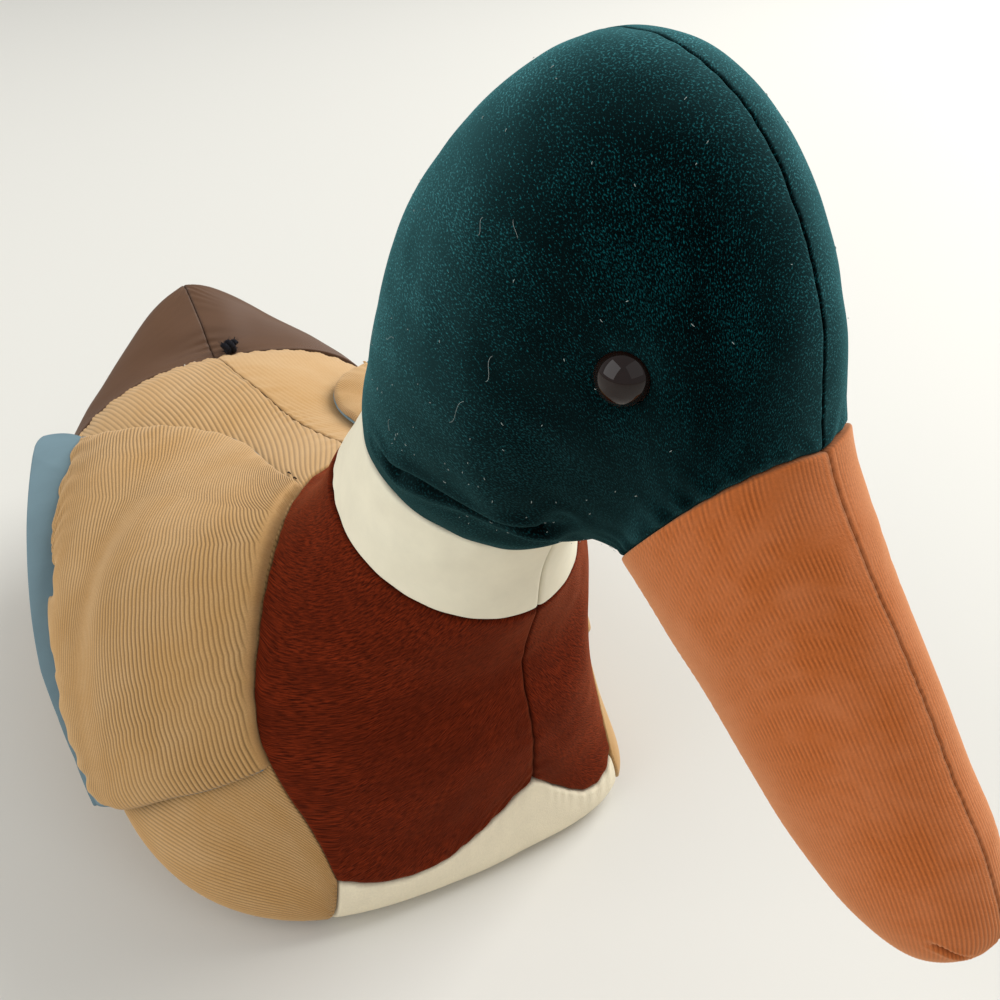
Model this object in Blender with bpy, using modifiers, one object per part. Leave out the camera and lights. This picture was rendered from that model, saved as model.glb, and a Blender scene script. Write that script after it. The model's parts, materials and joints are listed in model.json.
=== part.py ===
"""A stuffed mallard drake: cloth panels over stuffing, with two wings that lift like flaps.

Run with blender --background --python part.py, or from Blender's text editor.
Metres, +Z up. The duck faces -Y, its right side is at -X, and it stands on Z = 0.
"""

import math

import bmesh
import bpy
import numpy as np
from mathutils import Matrix, Vector

MM = 0.001

# Driving sizes
BODY_LENGTH = 288 * MM
BODY_HEIGHT = 110 * MM
BODY_WIDTH = 202 * MM
NECK_DEPTH = 80 * MM
NECK_WIDTH = 83 * MM
COLLAR_HEIGHT = 33 * MM
HEAD_LENGTH = 155 * MM
HEAD_HEIGHT = 145 * MM
HEAD_WIDTH = 95 * MM
BILL_LENGTH = 115 * MM
BILL_DEPTH = 57 * MM
BILL_WIDTH = 50 * MM
BILL_DROOP = math.radians(42)
HEAD_TURN = math.radians(10)
NECK_SHIFT = 24 * MM
SEAM_DRIFT = 27 * MM
SLUMP = 12 * MM
EYE_DIAMETER = 12 * MM

# Cloth, gaps and stuffing
VELVET_THICKNESS = 1.6 * MM
MOHAIR_THICKNESS = 1.8 * MM
CORD_THICKNESS = 1.4 * MM
FELT_THICKNESS = 1.5 * MM
COTTON_THICKNESS = 1.0 * MM
SEAM_GAP = 0.35 * MM
STUFFING_GAP = 1.4 * MM
BODY_STUFFING_GAP = 2.0 * MM
LAYER_GAP = 0.6 * MM
FLAT_DEPTH = 0.5 * MM

# Sections of the neck, as (back y, back z, front y, front z, half width).
# y in neck depths, z in collar heights above the collar's front lower edge, widths in half neck widths.
COLLAR_SHARES = (
    (0.66, 1.03, -0.39, 0.00, 0.96),
    (0.56, 1.40, -0.41, 0.50, 0.87),
    (0.47, 1.72, -0.48, 1.00, 0.80),
)
COLLAR_FRONT_SHARE = 1.06

# Sections of the head above the collar, as (back y, back z, front y, front z, half width, drop, fullness).
# y in head lengths, z in head heights above the collar's front upper edge.
HEAD_SHARES = (
    (0.18, 0.31, -0.30, 0.04, 0.82, 0.00, 1.00),
    (0.07, 0.52, -0.33, 0.09, 0.90, 0.00, 0.95),
    (-0.04, 0.75, -0.37, 0.12, 0.96, -0.10, 0.90),
    (-0.22, 0.92, -0.40, 0.13, 0.97, -0.15, 0.90),
    (-0.38, 0.97, -0.42, 0.14, 0.89, -0.15, 0.90),
    (-0.56, 0.89, -0.43, 0.14, 0.73, -0.10, 0.95),
    (-0.70, 0.68, -0.46, 0.13, 0.58, 0.00, 1.00),
)
BILL_ROOT_SHARE = (-0.62, 0.32)

# Sections of the bill along its own axis, as (top along, top up, bottom along, bottom up, half width).
# Along in bill lengths, up in half bill depths, widths in half bill widths.
BILL_SHARES = (
    (0.00, 1.08, 0.02, -1.15, 1.08),
    (0.20, 0.89, 0.18, -1.14, 0.99),
    (0.36, 0.79, 0.33, -1.15, 0.87),
    (0.51, 0.69, 0.50, -1.15, 0.84),
    (0.66, 0.56, 0.68, -1.09, 0.81),
    (0.82, 0.44, 0.83, -0.92, 0.74),
    (0.95, 0.26, 0.94, -0.67, 0.54),
    (1.00, 0.02, 0.98, -0.42, 0.26),
    (1.01, -0.17, 1.00, -0.23, 0.02),
)

# Sections of the body, as (back y, back z, front y, front z, half width, drop, fullness).
# y in body lengths behind the neck's axis, z in body heights.
BODY_SHARES = (
    (0.20, 1.19, -0.09, 0.80, 0.57, 0.00, 1.00),
    (0.30, 1.09, -0.12, 0.56, 0.67, -0.05, 0.95),
    (0.39, 1.02, -0.125, 0.31, 0.78, -0.20, 0.85),
    (0.48, 0.98, -0.13, 0.03, 0.87, -0.35, 0.80),
    (0.57, 0.98, -0.01, 0.00, 0.94, -0.40, 0.80),
    (0.66, 0.96, 0.33, 0.00, 0.95, -0.40, 0.80),
    (0.74, 0.91, 0.60, 0.07, 0.92, -0.30, 0.80),
    (0.79, 0.87, 0.76, 0.25, 0.82, -0.25, 0.85),
)
TAIL_SHARES = (
    (0.82, 0.89, 0.81, 0.46, 0.67, -0.10, 0.90),
    (0.85, 0.96, 0.86, 0.65, 0.48, 0.00, 0.95),
    (0.89, 1.03, 0.89, 0.83, 0.30, 0.00, 1.00),
    (0.92, 1.07, 0.92, 0.94, 0.16, 0.00, 1.00),
    (0.94, 1.07, 0.94, 1.02, 0.01, 0.00, 1.00),
)
DRIFT_END_SHARE = 0.660
DRIFT_RUN_SHARE = 0.753
MOST_DRIFT_SHARE = 1.0
# Over how many stations the turned neck passes into the body, and where the body slumps.
NECK_BLEND = 1.6
DRIFT_BLEND = 3
SLUMP_START = 2.5
SLUMP_END = 4

# Stations: whole numbers are the sections above, counted from the collar.
TAIL_STATION = len(BODY_SHARES)
TIP_STATION = TAIL_STATION + len(TAIL_SHARES)
BILL_STATION = len(HEAD_SHARES) + 1
BILL_TIP_STATION = BILL_STATION + len(BILL_SHARES) - 1
COLLAR_STATION = len(COLLAR_SHARES) - 1
BILL_SEAM_SAG_SHARE = 0.20

# The seam between chest and back, from the back seam down to the belly, as (station, degrees round
# the body from the front seam).
CHEST_SEAM_SHARES = (
    (1.33, 180), (1.35, 165), (1.12, 150), (0.97, 136), (0.93, 124), (0.95, 114), (1.01, 104),
    (1.11, 94), (1.25, 85), (1.45, 77), (1.71, 71), (2.00, 66), (2.26, 60), (2.52, 54),
    (2.79, 48), (3.10, 43), (3.45, 39),
)
# The lower edge of the chest, as (share of the way from the corner to the front seam, station).
CHEST_HEM_SHARES = (
    (0.00, 3.45), (0.20, 3.52), (0.40, 3.54), (0.58, 3.47), (0.72, 3.33), (0.87, 3.14), (1.00, 2.88),
)
BELLY_REAR_DEGREES = 38
# The wing's front edge follows the seam between chest and back; its rear edge is given as
# (share of the way up, station, degrees).
WING_FRONT_DEGREES = (60, 155)
WING_REAR_SHARES = (
    (0.00, 4.66, 92), (0.10, 4.86, 98), (0.25, 5.10, 106), (0.45, 5.28, 117), (0.65, 5.70, 126),
    (0.85, 6.02, 137), (1.00, 6.40, 143),
)
WING_BOW_DEGREES = 19
WING_LOW_BOW_DEGREES = 10
WING_SETBACK_SHARE = 0.012
# How far the lining shows past the wing's rear edge, as (share of the way up, share of the most).
LINING_REACH = 18 * MM
LINING_REACH_SHARES = (
    (0.00, 0.06), (0.10, 0.10), (0.20, 0.25), (0.30, 0.48), (0.45, 0.66), (0.65, 0.80),
    (0.85, 1.00), (0.94, 1.00), (1.00, 0.80),
)
LINING_FLARE = math.radians(50)
LINING_ROWS = 3
WING_CLEARANCE = 1.1 * MM
WING_PUFF = 6 * MM
WING_STAND_OFF = 5.5 * MM
FOLD_HEIGHT = 4 * MM
FOLD_INSIDE_SHARE = 0.4
FOLD_SPAN_SHARE = 0.8

# Eyes: a dome on a shank that goes through the cloth, held by a washer.
EYE_SHARE = (6.35, 109)
EYE_RISE = 4 * MM
SHANK_DIAMETER = 4 * MM
SHANK_LENGTH = 6.5 * MM
WASHER_DIAMETER = 11 * MM
WASHER_THICKNESS = 1.5 * MM
WASHER_DEPTH = 0.9 * MM
EYE_CLEARANCE = 0.3 * MM
BORE_CLEARANCE = 0.25 * MM
POCKET_CLEARANCE = 0.7 * MM

# The yarn curl on the tail.
YARN_DIAMETER = 3 * MM
CURL_RADIUS = 4.5 * MM
CURL_TURNS = 0.85
CURL_NARROWING_SHARE = 0.35
CURL_SHARE = (8.15, -176)

# How finely the cloth is divided.
SEAM_ROWS = 16
HEM_ROWS = 6
CHEST_ROWS = 8
BACK_ROWS = 15
FRONT_CROWDING_SHARE = 1.3
TAIL_ROWS = 7
TAIL_SIDES = 18
HEAD_ROWS = 14
HEAD_SIDES = 14
BILL_ROWS = 11
COLLAR_ROWS = 3
WING_ROWS = 11
# The stuffing's sections, as (first station, last station, number of sections).
BODY_STUFFING_STATIONS = ((0.04, 2.9, 9), (3.15, 4.9, 8), (5.3, 12.6, 13))
BODY_STUFFING_SIDES = 42
NECK_STUFFING_STATIONS = (0.08, 1.92, 4)
HEAD_STUFFING_STATIONS = (0.06, BILL_STATION - 0.56, 18)
BILL_STUFFING_STATIONS = (BILL_STATION - 0.3, BILL_TIP_STATION - 0.4, 15)
ROUND_STEPS = 20
DOME_STEPS = 7
CURL_STEPS = 14
SEAM_SAMPLES = 700
FOLD_SAMPLES = 41
NORMAL_STEP = 0.004
TINY = 1e-9
MERGE_REACH = 0.01 * MM
HALF_TURN = math.pi


def between(shares, at):
    """Straight interpolation in a table whose first column is at."""
    table = np.asarray(shares, float)
    return [np.interp(at, table[:, 0], table[:, k]) for k in range(1, table.shape[1])]


def spline(rows, at):
    """A smooth curve through the rows, read at the stations in at."""
    rows = np.asarray(rows, float)
    last = len(rows) - 1
    at = np.clip(np.asarray(at, float), 0, last)
    i = np.minimum(at.astype(int), last - 1)
    f = (at - i)[..., None]
    p1, p2 = rows[i], rows[i + 1]
    p0 = np.where((i == 0)[..., None], 2 * p1 - p2, rows[np.maximum(i - 1, 0)])
    p3 = np.where((i == last - 1)[..., None], 2 * p2 - p1, rows[np.minimum(i + 2, last)])
    cubic = (-p0 + 3 * p1 - 3 * p2 + p3) * f**3
    return 0.5 * (2 * p1 + (p2 - p0) * f + (2 * p0 - 5 * p1 + 4 * p2 - p3) * f**2 + cubic)


def smooth(a):
    a = np.clip(a, 0, 1)
    return a * a * (3 - 2 * a)


def section_points(sections, angle):
    """Points on oval sections. Angle 0 is the front or lower seam, pi the back or upper one, and
    the right side, -X, lies between them."""
    back = sections[..., 0:2]
    front = sections[..., 2:4]
    middle = (back + front) / 2
    reach = back - front
    along = -np.cos(angle)
    along = along + sections[..., 5] * (1 - along**2)
    side = np.sin(angle)
    side = np.sign(side) * np.abs(side) ** sections[..., 6]
    yz = middle + reach / 2 * along[..., None]
    return np.stack([-sections[..., 4] * side, yz[..., 0], yz[..., 1]], -1)


def padded_rows(rows):
    """Rows that give no drop or fullness are plain ovals."""
    return [tuple(row) + (0, 1) if len(row) == 5 else tuple(row) for row in rows]


def collar_rows():
    base = COLLAR_FRONT_SHARE * BODY_HEIGHT
    return padded_rows(
        (by * NECK_DEPTH, base + bz * COLLAR_HEIGHT, fy * NECK_DEPTH, base + fz * COLLAR_HEIGHT,
         w * NECK_WIDTH / 2)
        for by, bz, fy, fz, w in COLLAR_SHARES
    )


def bill_rows():
    """The bill's sections, along an axis that droops from the root of the bill."""
    root = bill_root()
    ahead = np.array([-math.cos(BILL_DROOP), -math.sin(BILL_DROOP)])
    up = np.array([-math.sin(BILL_DROOP), math.cos(BILL_DROOP)])
    rows = []
    for ta, tu, ba, bu, w in BILL_SHARES:
        top = root + ahead * ta * BILL_LENGTH + up * tu * BILL_DEPTH / 2
        bottom = root + ahead * ba * BILL_LENGTH + up * bu * BILL_DEPTH / 2
        rows.append((*top, *bottom, w * BILL_WIDTH / 2))
    return padded_rows(rows)


def head_base():
    return COLLAR_FRONT_SHARE * BODY_HEIGHT + COLLAR_HEIGHT


def bill_root():
    y, z = BILL_ROOT_SHARE
    return np.array([y * HEAD_LENGTH, head_base() + z * HEAD_HEIGHT])


def head_rows():
    """From the collar's upper edge over the head to the tip of the bill."""
    rows = [collar_rows()[-1]]
    for by, bz, fy, fz, w, drop, full in HEAD_SHARES:
        rows.append((
            by * HEAD_LENGTH, head_base() + bz * HEAD_HEIGHT,
            fy * HEAD_LENGTH, head_base() + fz * HEAD_HEIGHT,
            w * HEAD_WIDTH / 2, drop, full,
        ))
    return rows + bill_rows()


def body_rows():
    """From the collar's lower edge to the tip of the tail."""
    rows = [collar_rows()[0]]
    for by, bz, fy, fz, w, drop, full in BODY_SHARES + TAIL_SHARES:
        rows.append((
            by * BODY_LENGTH, bz * BODY_HEIGHT, fy * BODY_LENGTH, fz * BODY_HEIGHT,
            w * BODY_WIDTH / 2, drop, full,
        ))
    return rows


def turned(points):
    """The neck and head stand a little to the duck's left and look that way."""
    x, y, z = points[..., 0], points[..., 1], points[..., 2]
    c, s = math.cos(HEAD_TURN), math.sin(HEAD_TURN)
    return np.stack([x * c - y * s + NECK_SHIFT, x * s + y * c, z], -1)


def head_surface(station, angle):
    return turned(section_points(spline(head_rows(), station), angle))


def collar_surface(station, angle):
    return turned(section_points(spline(collar_rows(), station), angle))


def body_surface(station, angle):
    """The body is even on both sides, while its seams drift to the left towards the turned neck."""
    station = np.asarray(station, float)
    points = section_points(spline(body_rows(), station), angle)
    side = np.abs(np.sin(angle))
    run = (DRIFT_END_SHARE * BODY_LENGTH - points[..., 1]) / (DRIFT_RUN_SHARE * BODY_LENGTH)
    drift = SEAM_DRIFT * np.clip(run, 0, MOST_DRIFT_SHARE)
    fullness = smooth(station / SLUMP_START) * (1 - smooth((station - SLUMP_END) / SLUMP_END))
    fullness = fullness * (1 - np.cos(angle)) / 2
    skewed = points.copy()
    skewed[..., 0] += drift * (1 - side * np.minimum(1, station / DRIFT_BLEND))
    skewed[..., 0] -= 2 * SLUMP * side * fullness
    at_neck = (1 - smooth(station / NECK_BLEND))[..., None]
    placed = turned(points) * at_neck + skewed * (1 - at_neck)
    placed[..., 2] = np.maximum(placed[..., 2], FLAT_DEPTH)
    return placed


def outward(surface, station, angle):
    """The surface's outward normals."""
    along = surface(station + NORMAL_STEP, angle) - surface(station - NORMAL_STEP, angle)
    round_it = surface(station, angle + NORMAL_STEP) - surface(station, angle - NORMAL_STEP)
    normal = np.cross(along, round_it)
    normal /= np.maximum(np.linalg.norm(normal, axis=-1, keepdims=True), TINY)
    opposite = surface(station, np.full_like(angle, HALF_TURN))
    centre = (surface(station, np.zeros_like(angle)) + opposite) / 2
    facing = np.sign(np.sum(normal * (surface(station, angle) - centre)))
    return normal * facing


def skin(surface, station, angle, height):
    """Points that stand height above the surface, or below it where height is negative."""
    height = np.broadcast_to(np.asarray(height, float), station.shape)
    return surface(station, angle) + outward(surface, station, angle) * height[..., None]


def pull_in(points, distance):
    """Moves the four edges of a grid of points towards its middle, along the grid."""
    points = points.copy()
    for grid in (points, points.swapaxes(0, 1)):
        for edge, beside in ((0, 1), (-1, -2)):
            way = grid[beside] - grid[edge]
            length = np.maximum(np.linalg.norm(way, axis=-1, keepdims=True), TINY)
            grid[edge] += way / length * np.minimum(distance, length / 3)
    return points


def mesh_object(name, points, faces, material, collection):
    mesh = bpy.data.meshes.new(name)
    mesh.from_pydata([Vector(p) for p in points], [], faces)
    shape = bmesh.new()
    shape.from_mesh(mesh)
    bmesh.ops.recalc_face_normals(shape, faces=shape.faces)
    if shape.calc_volume(signed=True) < 0:
        bmesh.ops.reverse_faces(shape, faces=shape.faces)
    for face in shape.faces:
        face.smooth = True
    shape.to_mesh(mesh)
    shape.free()
    obj = bpy.data.objects.new(name, mesh)
    collection.objects.link(obj)
    if material:
        mesh.materials.append(material)
    return obj


def sheet(name, top, bottom, material, collection):
    """A closed sheet between two grids of points."""
    rows, sides = top.shape[:2]
    number = np.arange(rows * sides).reshape(rows, sides)
    under = number + rows * sides
    faces = []
    for i in range(rows - 1):
        for j in range(sides - 1):
            faces.append([number[i, j], number[i, j + 1], number[i + 1, j + 1], number[i + 1, j]])
            faces.append([under[i, j], under[i + 1, j], under[i + 1, j + 1], under[i, j + 1]])
    rim = [*number[0, :-1], *number[:-1, -1], *number[-1, :0:-1], *number[:0:-1, 0]]
    below = [*under[0, :-1], *under[:-1, -1], *under[-1, :0:-1], *under[:0:-1, 0]]
    for k in range(len(rim)):
        after = (k + 1) % len(rim)
        faces.append([rim[k], below[k], below[after], rim[after]])
    points = np.concatenate([top.reshape(-1, 3), bottom.reshape(-1, 3)])
    faces = [[int(i) for i in face] for face in faces]
    obj = mesh_object(name, points, faces, material, collection)
    ends = {frozenset((rim[k], rim[(k + 1) % len(rim)])) for k in range(len(rim))}
    ends |= {frozenset((below[k], below[(k + 1) % len(rim)])) for k in range(len(rim))}
    for edge in obj.data.edges:
        edge.use_edge_sharp = frozenset(edge.vertices) in ends
    return obj


def panel(name, surface, station, angle, thickness, material, collection):
    """A cloth panel: its right side on the surface, its wrong side a thickness below."""
    top = pull_in(skin(surface, station, angle, 0), SEAM_GAP / 2)
    bottom = pull_in(skin(surface, station, angle, -thickness), SEAM_GAP / 2)
    return sheet(name, top, bottom, material, collection)


def stuffing(name, surface, stations, sides, depth, material, collection):
    """A wad that fills the cloth between two stations, with flat ends."""
    angles = np.arange(sides) * 2 * HALF_TURN / sides
    station, angle = np.meshgrid(stations, angles, indexing="ij")
    points = skin(surface, station, angle, -depth)
    rows = len(stations)
    number = np.arange(rows * sides).reshape(rows, sides)
    faces = []
    for i in range(rows - 1):
        for j in range(sides):
            k = (j + 1) % sides
            faces.append([number[i, j], number[i, k], number[i + 1, k], number[i + 1, j]])
    faces.append(list(number[0]))
    faces.append(list(number[-1]))
    faces = [[int(i) for i in face] for face in faces]
    return mesh_object(name, points.reshape(-1, 3), faces, material, collection)


def chest_seam():
    """Points of the seam from the back seam down to the belly's corner, evenly spaced."""
    table = np.asarray(CHEST_SEAM_SHARES, float)
    fine = spline(table, np.linspace(0, len(table) - 1, SEAM_SAMPLES))
    points = body_surface(fine[:, 0], np.radians(fine[:, 1]))
    run = np.concatenate([[0], np.cumsum(np.linalg.norm(np.diff(points, axis=0), axis=1))])
    even = np.linspace(0, run[-1], SEAM_ROWS + 1)
    return np.interp(even, run, fine[:, 0]), np.radians(np.interp(even, run, fine[:, 1]))


def chest_hem():
    """Points of the chest's lower edge from the belly's corner to the front seam."""
    share = np.linspace(0, 1, HEM_ROWS + 1)
    corner = math.radians(CHEST_SEAM_SHARES[-1][1])
    return between(CHEST_HEM_SHARES, share)[0], corner * (1 - share)


def chest_grid():
    seam_station, seam_angle = chest_seam()
    hem_station, hem_angle = chest_hem()
    outer_station = np.concatenate([seam_station, hem_station[1:]])
    outer_angle = np.concatenate([seam_angle, hem_angle[1:]])
    neck_angle = np.linspace(HALF_TURN, 0, len(outer_angle))
    share = np.linspace(0, 1, CHEST_ROWS + 1)[:, None]
    return outer_station * share, neck_angle * (1 - share) + outer_angle * share


def back_grid():
    seam_station, seam_angle = chest_seam()
    rear_angle = np.linspace(HALF_TURN, math.radians(BELLY_REAR_DEGREES), SEAM_ROWS + 1)
    share = np.linspace(0, 1, BACK_ROWS + 1)[:, None] ** FRONT_CROWDING_SHARE
    station = seam_station * (1 - share) + TAIL_STATION * share
    return station, seam_angle * (1 - share) + rear_angle * share


def belly_grid():
    hem_station, hem_angle = chest_hem()
    station = np.concatenate([hem_station, hem_station[-2::-1]])
    angle = np.concatenate([hem_angle, -hem_angle[-2::-1]])
    rear_angle = angle * math.radians(BELLY_REAR_DEGREES) / hem_angle[0]
    share = np.linspace(0, 1, BACK_ROWS + 1)[:, None] ** FRONT_CROWDING_SHARE
    return station * (1 - share) + TAIL_STATION * share, angle * (1 - share) + rear_angle * share


def even_grid(first, last, rows, sides):
    return np.meshgrid(
        np.linspace(first, last, rows + 1), np.linspace(0, HALF_TURN, sides + 1), indexing="ij"
    )


def head_grid():
    share, angle = even_grid(0, 1, HEAD_ROWS, HEAD_SIDES)
    return share * (BILL_STATION - BILL_SEAM_SAG_SHARE * np.sin(angle)), angle


def bill_grid():
    share, angle = even_grid(0, 1, BILL_ROWS, HEAD_SIDES)
    root = BILL_STATION - BILL_SEAM_SAG_SHARE * np.sin(angle)
    return root * (1 - share) + BILL_TIP_STATION * share, angle


def wing_grid(shares_back, shares_up):
    """Stations and degrees of the wing, from its sewn front edge to its free rear edge."""
    back, up = np.meshgrid(shares_back, shares_up, indexing="ij")
    front_angle = WING_FRONT_DEGREES[0] + (WING_FRONT_DEGREES[1] - WING_FRONT_DEGREES[0]) * up
    falling = np.asarray(CHEST_SEAM_SHARES, float)[::-1]
    front_station = np.interp(front_angle, falling[:, 1], falling[:, 0])
    rear_station, rear_angle = between(WING_REAR_SHARES, up)
    station = front_station * (1 - back) + rear_station * back
    angle = front_angle * (1 - back) + rear_angle * back
    bow = WING_BOW_DEGREES * up**2 + WING_LOW_BOW_DEGREES * (1 - up) ** 2
    angle = angle + bow * np.sin(np.clip(back, 0, 1) * HALF_TURN)
    return station, np.radians(angle), back, up


def wing_heights(back, up):
    """How far the lining's top and the padding stand off the body."""
    inside = np.clip(16 * back * (1 - back) * up * (1 - up), 0, 1)
    lining = WING_CLEARANCE + COTTON_THICKNESS + WING_STAND_OFF * back**2
    return lining, WING_PUFF * np.sqrt(inside)


def lining_layers(sign, shares_back, shares_up):
    """Both sides of the lining. It lies under the wing and flares out past the rear edge."""
    station, angle, back, up = wing_grid(shares_back, shares_up)
    height = wing_heights(back, up)[0]
    top = skin(body_surface, station, sign * angle, height)
    bottom = skin(body_surface, station, sign * angle, height - COTTON_THICKNESS)
    rearward = top[-1] - top[-2]
    rearward /= np.linalg.norm(rearward, axis=-1, keepdims=True)
    off = outward(body_surface, station[-1], sign * angle[-1])
    off -= rearward * np.sum(off * rearward, axis=-1, keepdims=True)
    off /= np.linalg.norm(off, axis=-1, keepdims=True)
    way = rearward * math.cos(LINING_FLARE) + off * math.sin(LINING_FLARE)
    face = off * math.cos(LINING_FLARE) - rearward * math.sin(LINING_FLARE)
    reach = LINING_REACH * between(LINING_REACH_SHARES, shares_up)[0][:, None]
    start = top[-1] + rearward * LAYER_GAP
    tops = [start + way * reach * k / LINING_ROWS for k in range(1, LINING_ROWS + 1)]
    bottoms = [row - face * COTTON_THICKNESS for row in tops]
    return np.concatenate([top, tops]), np.concatenate([bottom, bottoms])


def build_wing(side, sign, cloth, collection):
    """Corduroy over wadding over a lining that shows past the rear edge."""
    pieces = []
    shares_up = np.linspace(0, 1, WING_ROWS + 1)
    top_shares = np.linspace(WING_SETBACK_SHARE, 1, WING_ROWS + 1)

    station, angle, back, up = wing_grid(top_shares, shares_up)
    lining, puff = wing_heights(back, up)
    under = lining + LAYER_GAP + puff
    pieces.append(sheet(
        f"wing_cover_{side}",
        skin(body_surface, station, sign * angle, under + CORD_THICKNESS),
        skin(body_surface, station, sign * angle, under),
        cloth["corduroy"], collection,
    ))
    station, angle, back, up = wing_grid(top_shares[1:-1], shares_up[1:-1])
    lining, puff = wing_heights(back, up)
    pieces.append(sheet(
        f"wing_wadding_{side}",
        skin(body_surface, station, sign * angle, lining + puff),
        skin(body_surface, station, sign * angle, lining + LAYER_GAP),
        cloth["wadding"], collection,
    ))
    top, bottom = lining_layers(sign, top_shares, shares_up)
    pieces.append(sheet(f"wing_lining_{side}", top, bottom, cloth["blue cotton"], collection))
    return pieces


def wing_axis(sign):
    """The line that the wing folds on: along the lower run of its sewn edge, just over the cloth."""
    station, angle, back, up = wing_grid([0, FOLD_INSIDE_SHARE], np.linspace(0, 1, FOLD_SAMPLES))
    edge, inside = skin(body_surface, station, sign * angle, FOLD_HEIGHT)
    way = edge[int(FOLD_SPAN_SHARE * (FOLD_SAMPLES - 1))] - edge[0]
    way = way / np.linalg.norm(way)
    across = edge - edge[0]
    across = across - (across @ way)[:, None] * way
    inward = inside[len(inside) // 2] - edge[0]
    inward = inward - (inward @ way) * way
    foremost = int(np.argmin(across @ inward))
    return edge[foremost], way


def lathe(name, profile, material, collection, steps):
    """A turned piece about its own Z axis, from (radius, height) points."""
    mesh = bpy.data.meshes.new(name)
    points = [(r, 0, z) for r, z in profile]
    closed = profile[0][0] > 0
    edges = [(i, i + 1) for i in range(len(points) - 1)]
    if closed:
        edges.append((len(points) - 1, 0))
    mesh.from_pydata(points, edges, [])
    obj = bpy.data.objects.new(name, mesh)
    collection.objects.link(obj)
    screw = obj.modifiers.new("turn", "SCREW")
    screw.axis = "Z"
    screw.steps = steps
    screw.render_steps = steps
    screw.use_merge_vertices = True
    screw.merge_threshold = MERGE_REACH
    screw.use_smooth_shade = True
    mesh.materials.append(material)
    return obj


def eye_frame(sign):
    station = np.array([EYE_SHARE[0]])
    angle = np.array([sign * math.radians(EYE_SHARE[1])])
    point = Vector(skin(head_surface, station, angle, 0)[0])
    normal = Vector(outward(head_surface, station, angle)[0])
    turn = normal.to_track_quat("Z", "Y").to_matrix().to_4x4()
    return Matrix.Translation(point) @ turn


def eye_profile():
    radius = EYE_DIAMETER / 2
    bulge = (radius**2 + EYE_RISE**2) / (2 * EYE_RISE)
    widest = math.asin(radius / bulge)
    dome = []
    for k in range(DOME_STEPS + 1):
        a = widest * k / DOME_STEPS
        dome.append((bulge * math.sin(a), EYE_CLEARANCE + EYE_RISE - bulge + bulge * math.cos(a)))
    dome[0] = (0, dome[0][1])
    shank = SHANK_DIAMETER / 2
    return dome + [(shank, EYE_CLEARANCE), (shank, -SHANK_LENGTH), (0, -SHANK_LENGTH)]


def washer_profile():
    bore = SHANK_DIAMETER / 2 + BORE_CLEARANCE
    rim = WASHER_DIAMETER / 2
    top = -VELVET_THICKNESS - WASHER_DEPTH
    return [(bore, top), (rim, top), (rim, top - WASHER_THICKNESS), (bore, top - WASHER_THICKNESS)]


def cutter(name, radius, low, high, place, collection):
    bpy.ops.mesh.primitive_cylinder_add(
        vertices=ROUND_STEPS, radius=radius, depth=high - low, location=(0, 0, (low + high) / 2)
    )
    obj = bpy.context.object
    obj.name = name
    obj.data.transform(obj.matrix_world)
    obj.data.transform(place)
    obj.matrix_world = Matrix.Identity(4)
    for other in obj.users_collection:
        other.objects.unlink(obj)
    collection.objects.link(obj)
    obj.hide_render = True
    obj.display_type = "WIRE"
    return obj


def cut(obj, tool):
    difference = obj.modifiers.new(tool.name, "BOOLEAN")
    difference.operation = "DIFFERENCE"
    difference.solver = "EXACT"
    difference.object = tool


def build_eyes(panels, wad, cloth, collection, cutters):
    for side, sign in (("right", 1), ("left", -1)):
        place = eye_frame(sign)
        eye = lathe(f"eye_{side}", eye_profile(), cloth["eye"], collection, ROUND_STEPS)
        washer = lathe(f"eye_washer_{side}", washer_profile(), cloth["washer"], collection, ROUND_STEPS)
        for obj in (eye, washer):
            obj.matrix_world = place
        bore = SHANK_DIAMETER / 2 + BORE_CLEARANCE
        reach = EYE_DIAMETER / 2
        cut(panels[side], cutter(f"shank_hole_{side}", bore, -reach, reach, place, cutters))
        pocket = WASHER_DIAMETER / 2 + POCKET_CLEARANCE
        floor = -SHANK_LENGTH - POCKET_CLEARANCE
        cut(wad, cutter(f"eye_pocket_{side}", pocket, floor, 2 * reach, place, cutters))


def build_curl(cloth, collection):
    """A short length of yarn that stands on the tail in a loop."""
    station = np.array([CURL_SHARE[0]])
    angle = np.array([math.radians(CURL_SHARE[1])])
    foot = skin(body_surface, station, angle, YARN_DIAMETER / 2 + SEAM_GAP)[0]
    up = outward(body_surface, station, angle)[0]
    across = np.array([1.0, 0.0, 0.0])
    back = np.cross(across, up)
    back /= np.linalg.norm(back)
    curve = bpy.data.curves.new("tail_curl", "CURVE")
    curve.dimensions = "3D"
    curve.bevel_depth = YARN_DIAMETER / 2
    curve.bevel_resolution = 2
    curve.use_fill_caps = True
    line = curve.splines.new("POLY")
    line.points.add(CURL_STEPS)
    for k in range(CURL_STEPS + 1):
        share = k / CURL_STEPS
        turn = 2 * HALF_TURN * CURL_TURNS * share
        radius = CURL_RADIUS * (1 - CURL_NARROWING_SHARE * share)
        place = foot + up * (CURL_RADIUS - radius * math.cos(turn)) + back * radius * math.sin(turn)
        place = place + across * YARN_DIAMETER * share
        line.points[k].co = (*place, 1)
    obj = bpy.data.objects.new("tail_curl", curve)
    collection.objects.link(obj)
    curve.materials.append(cloth["black yarn"])
    return obj


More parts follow.
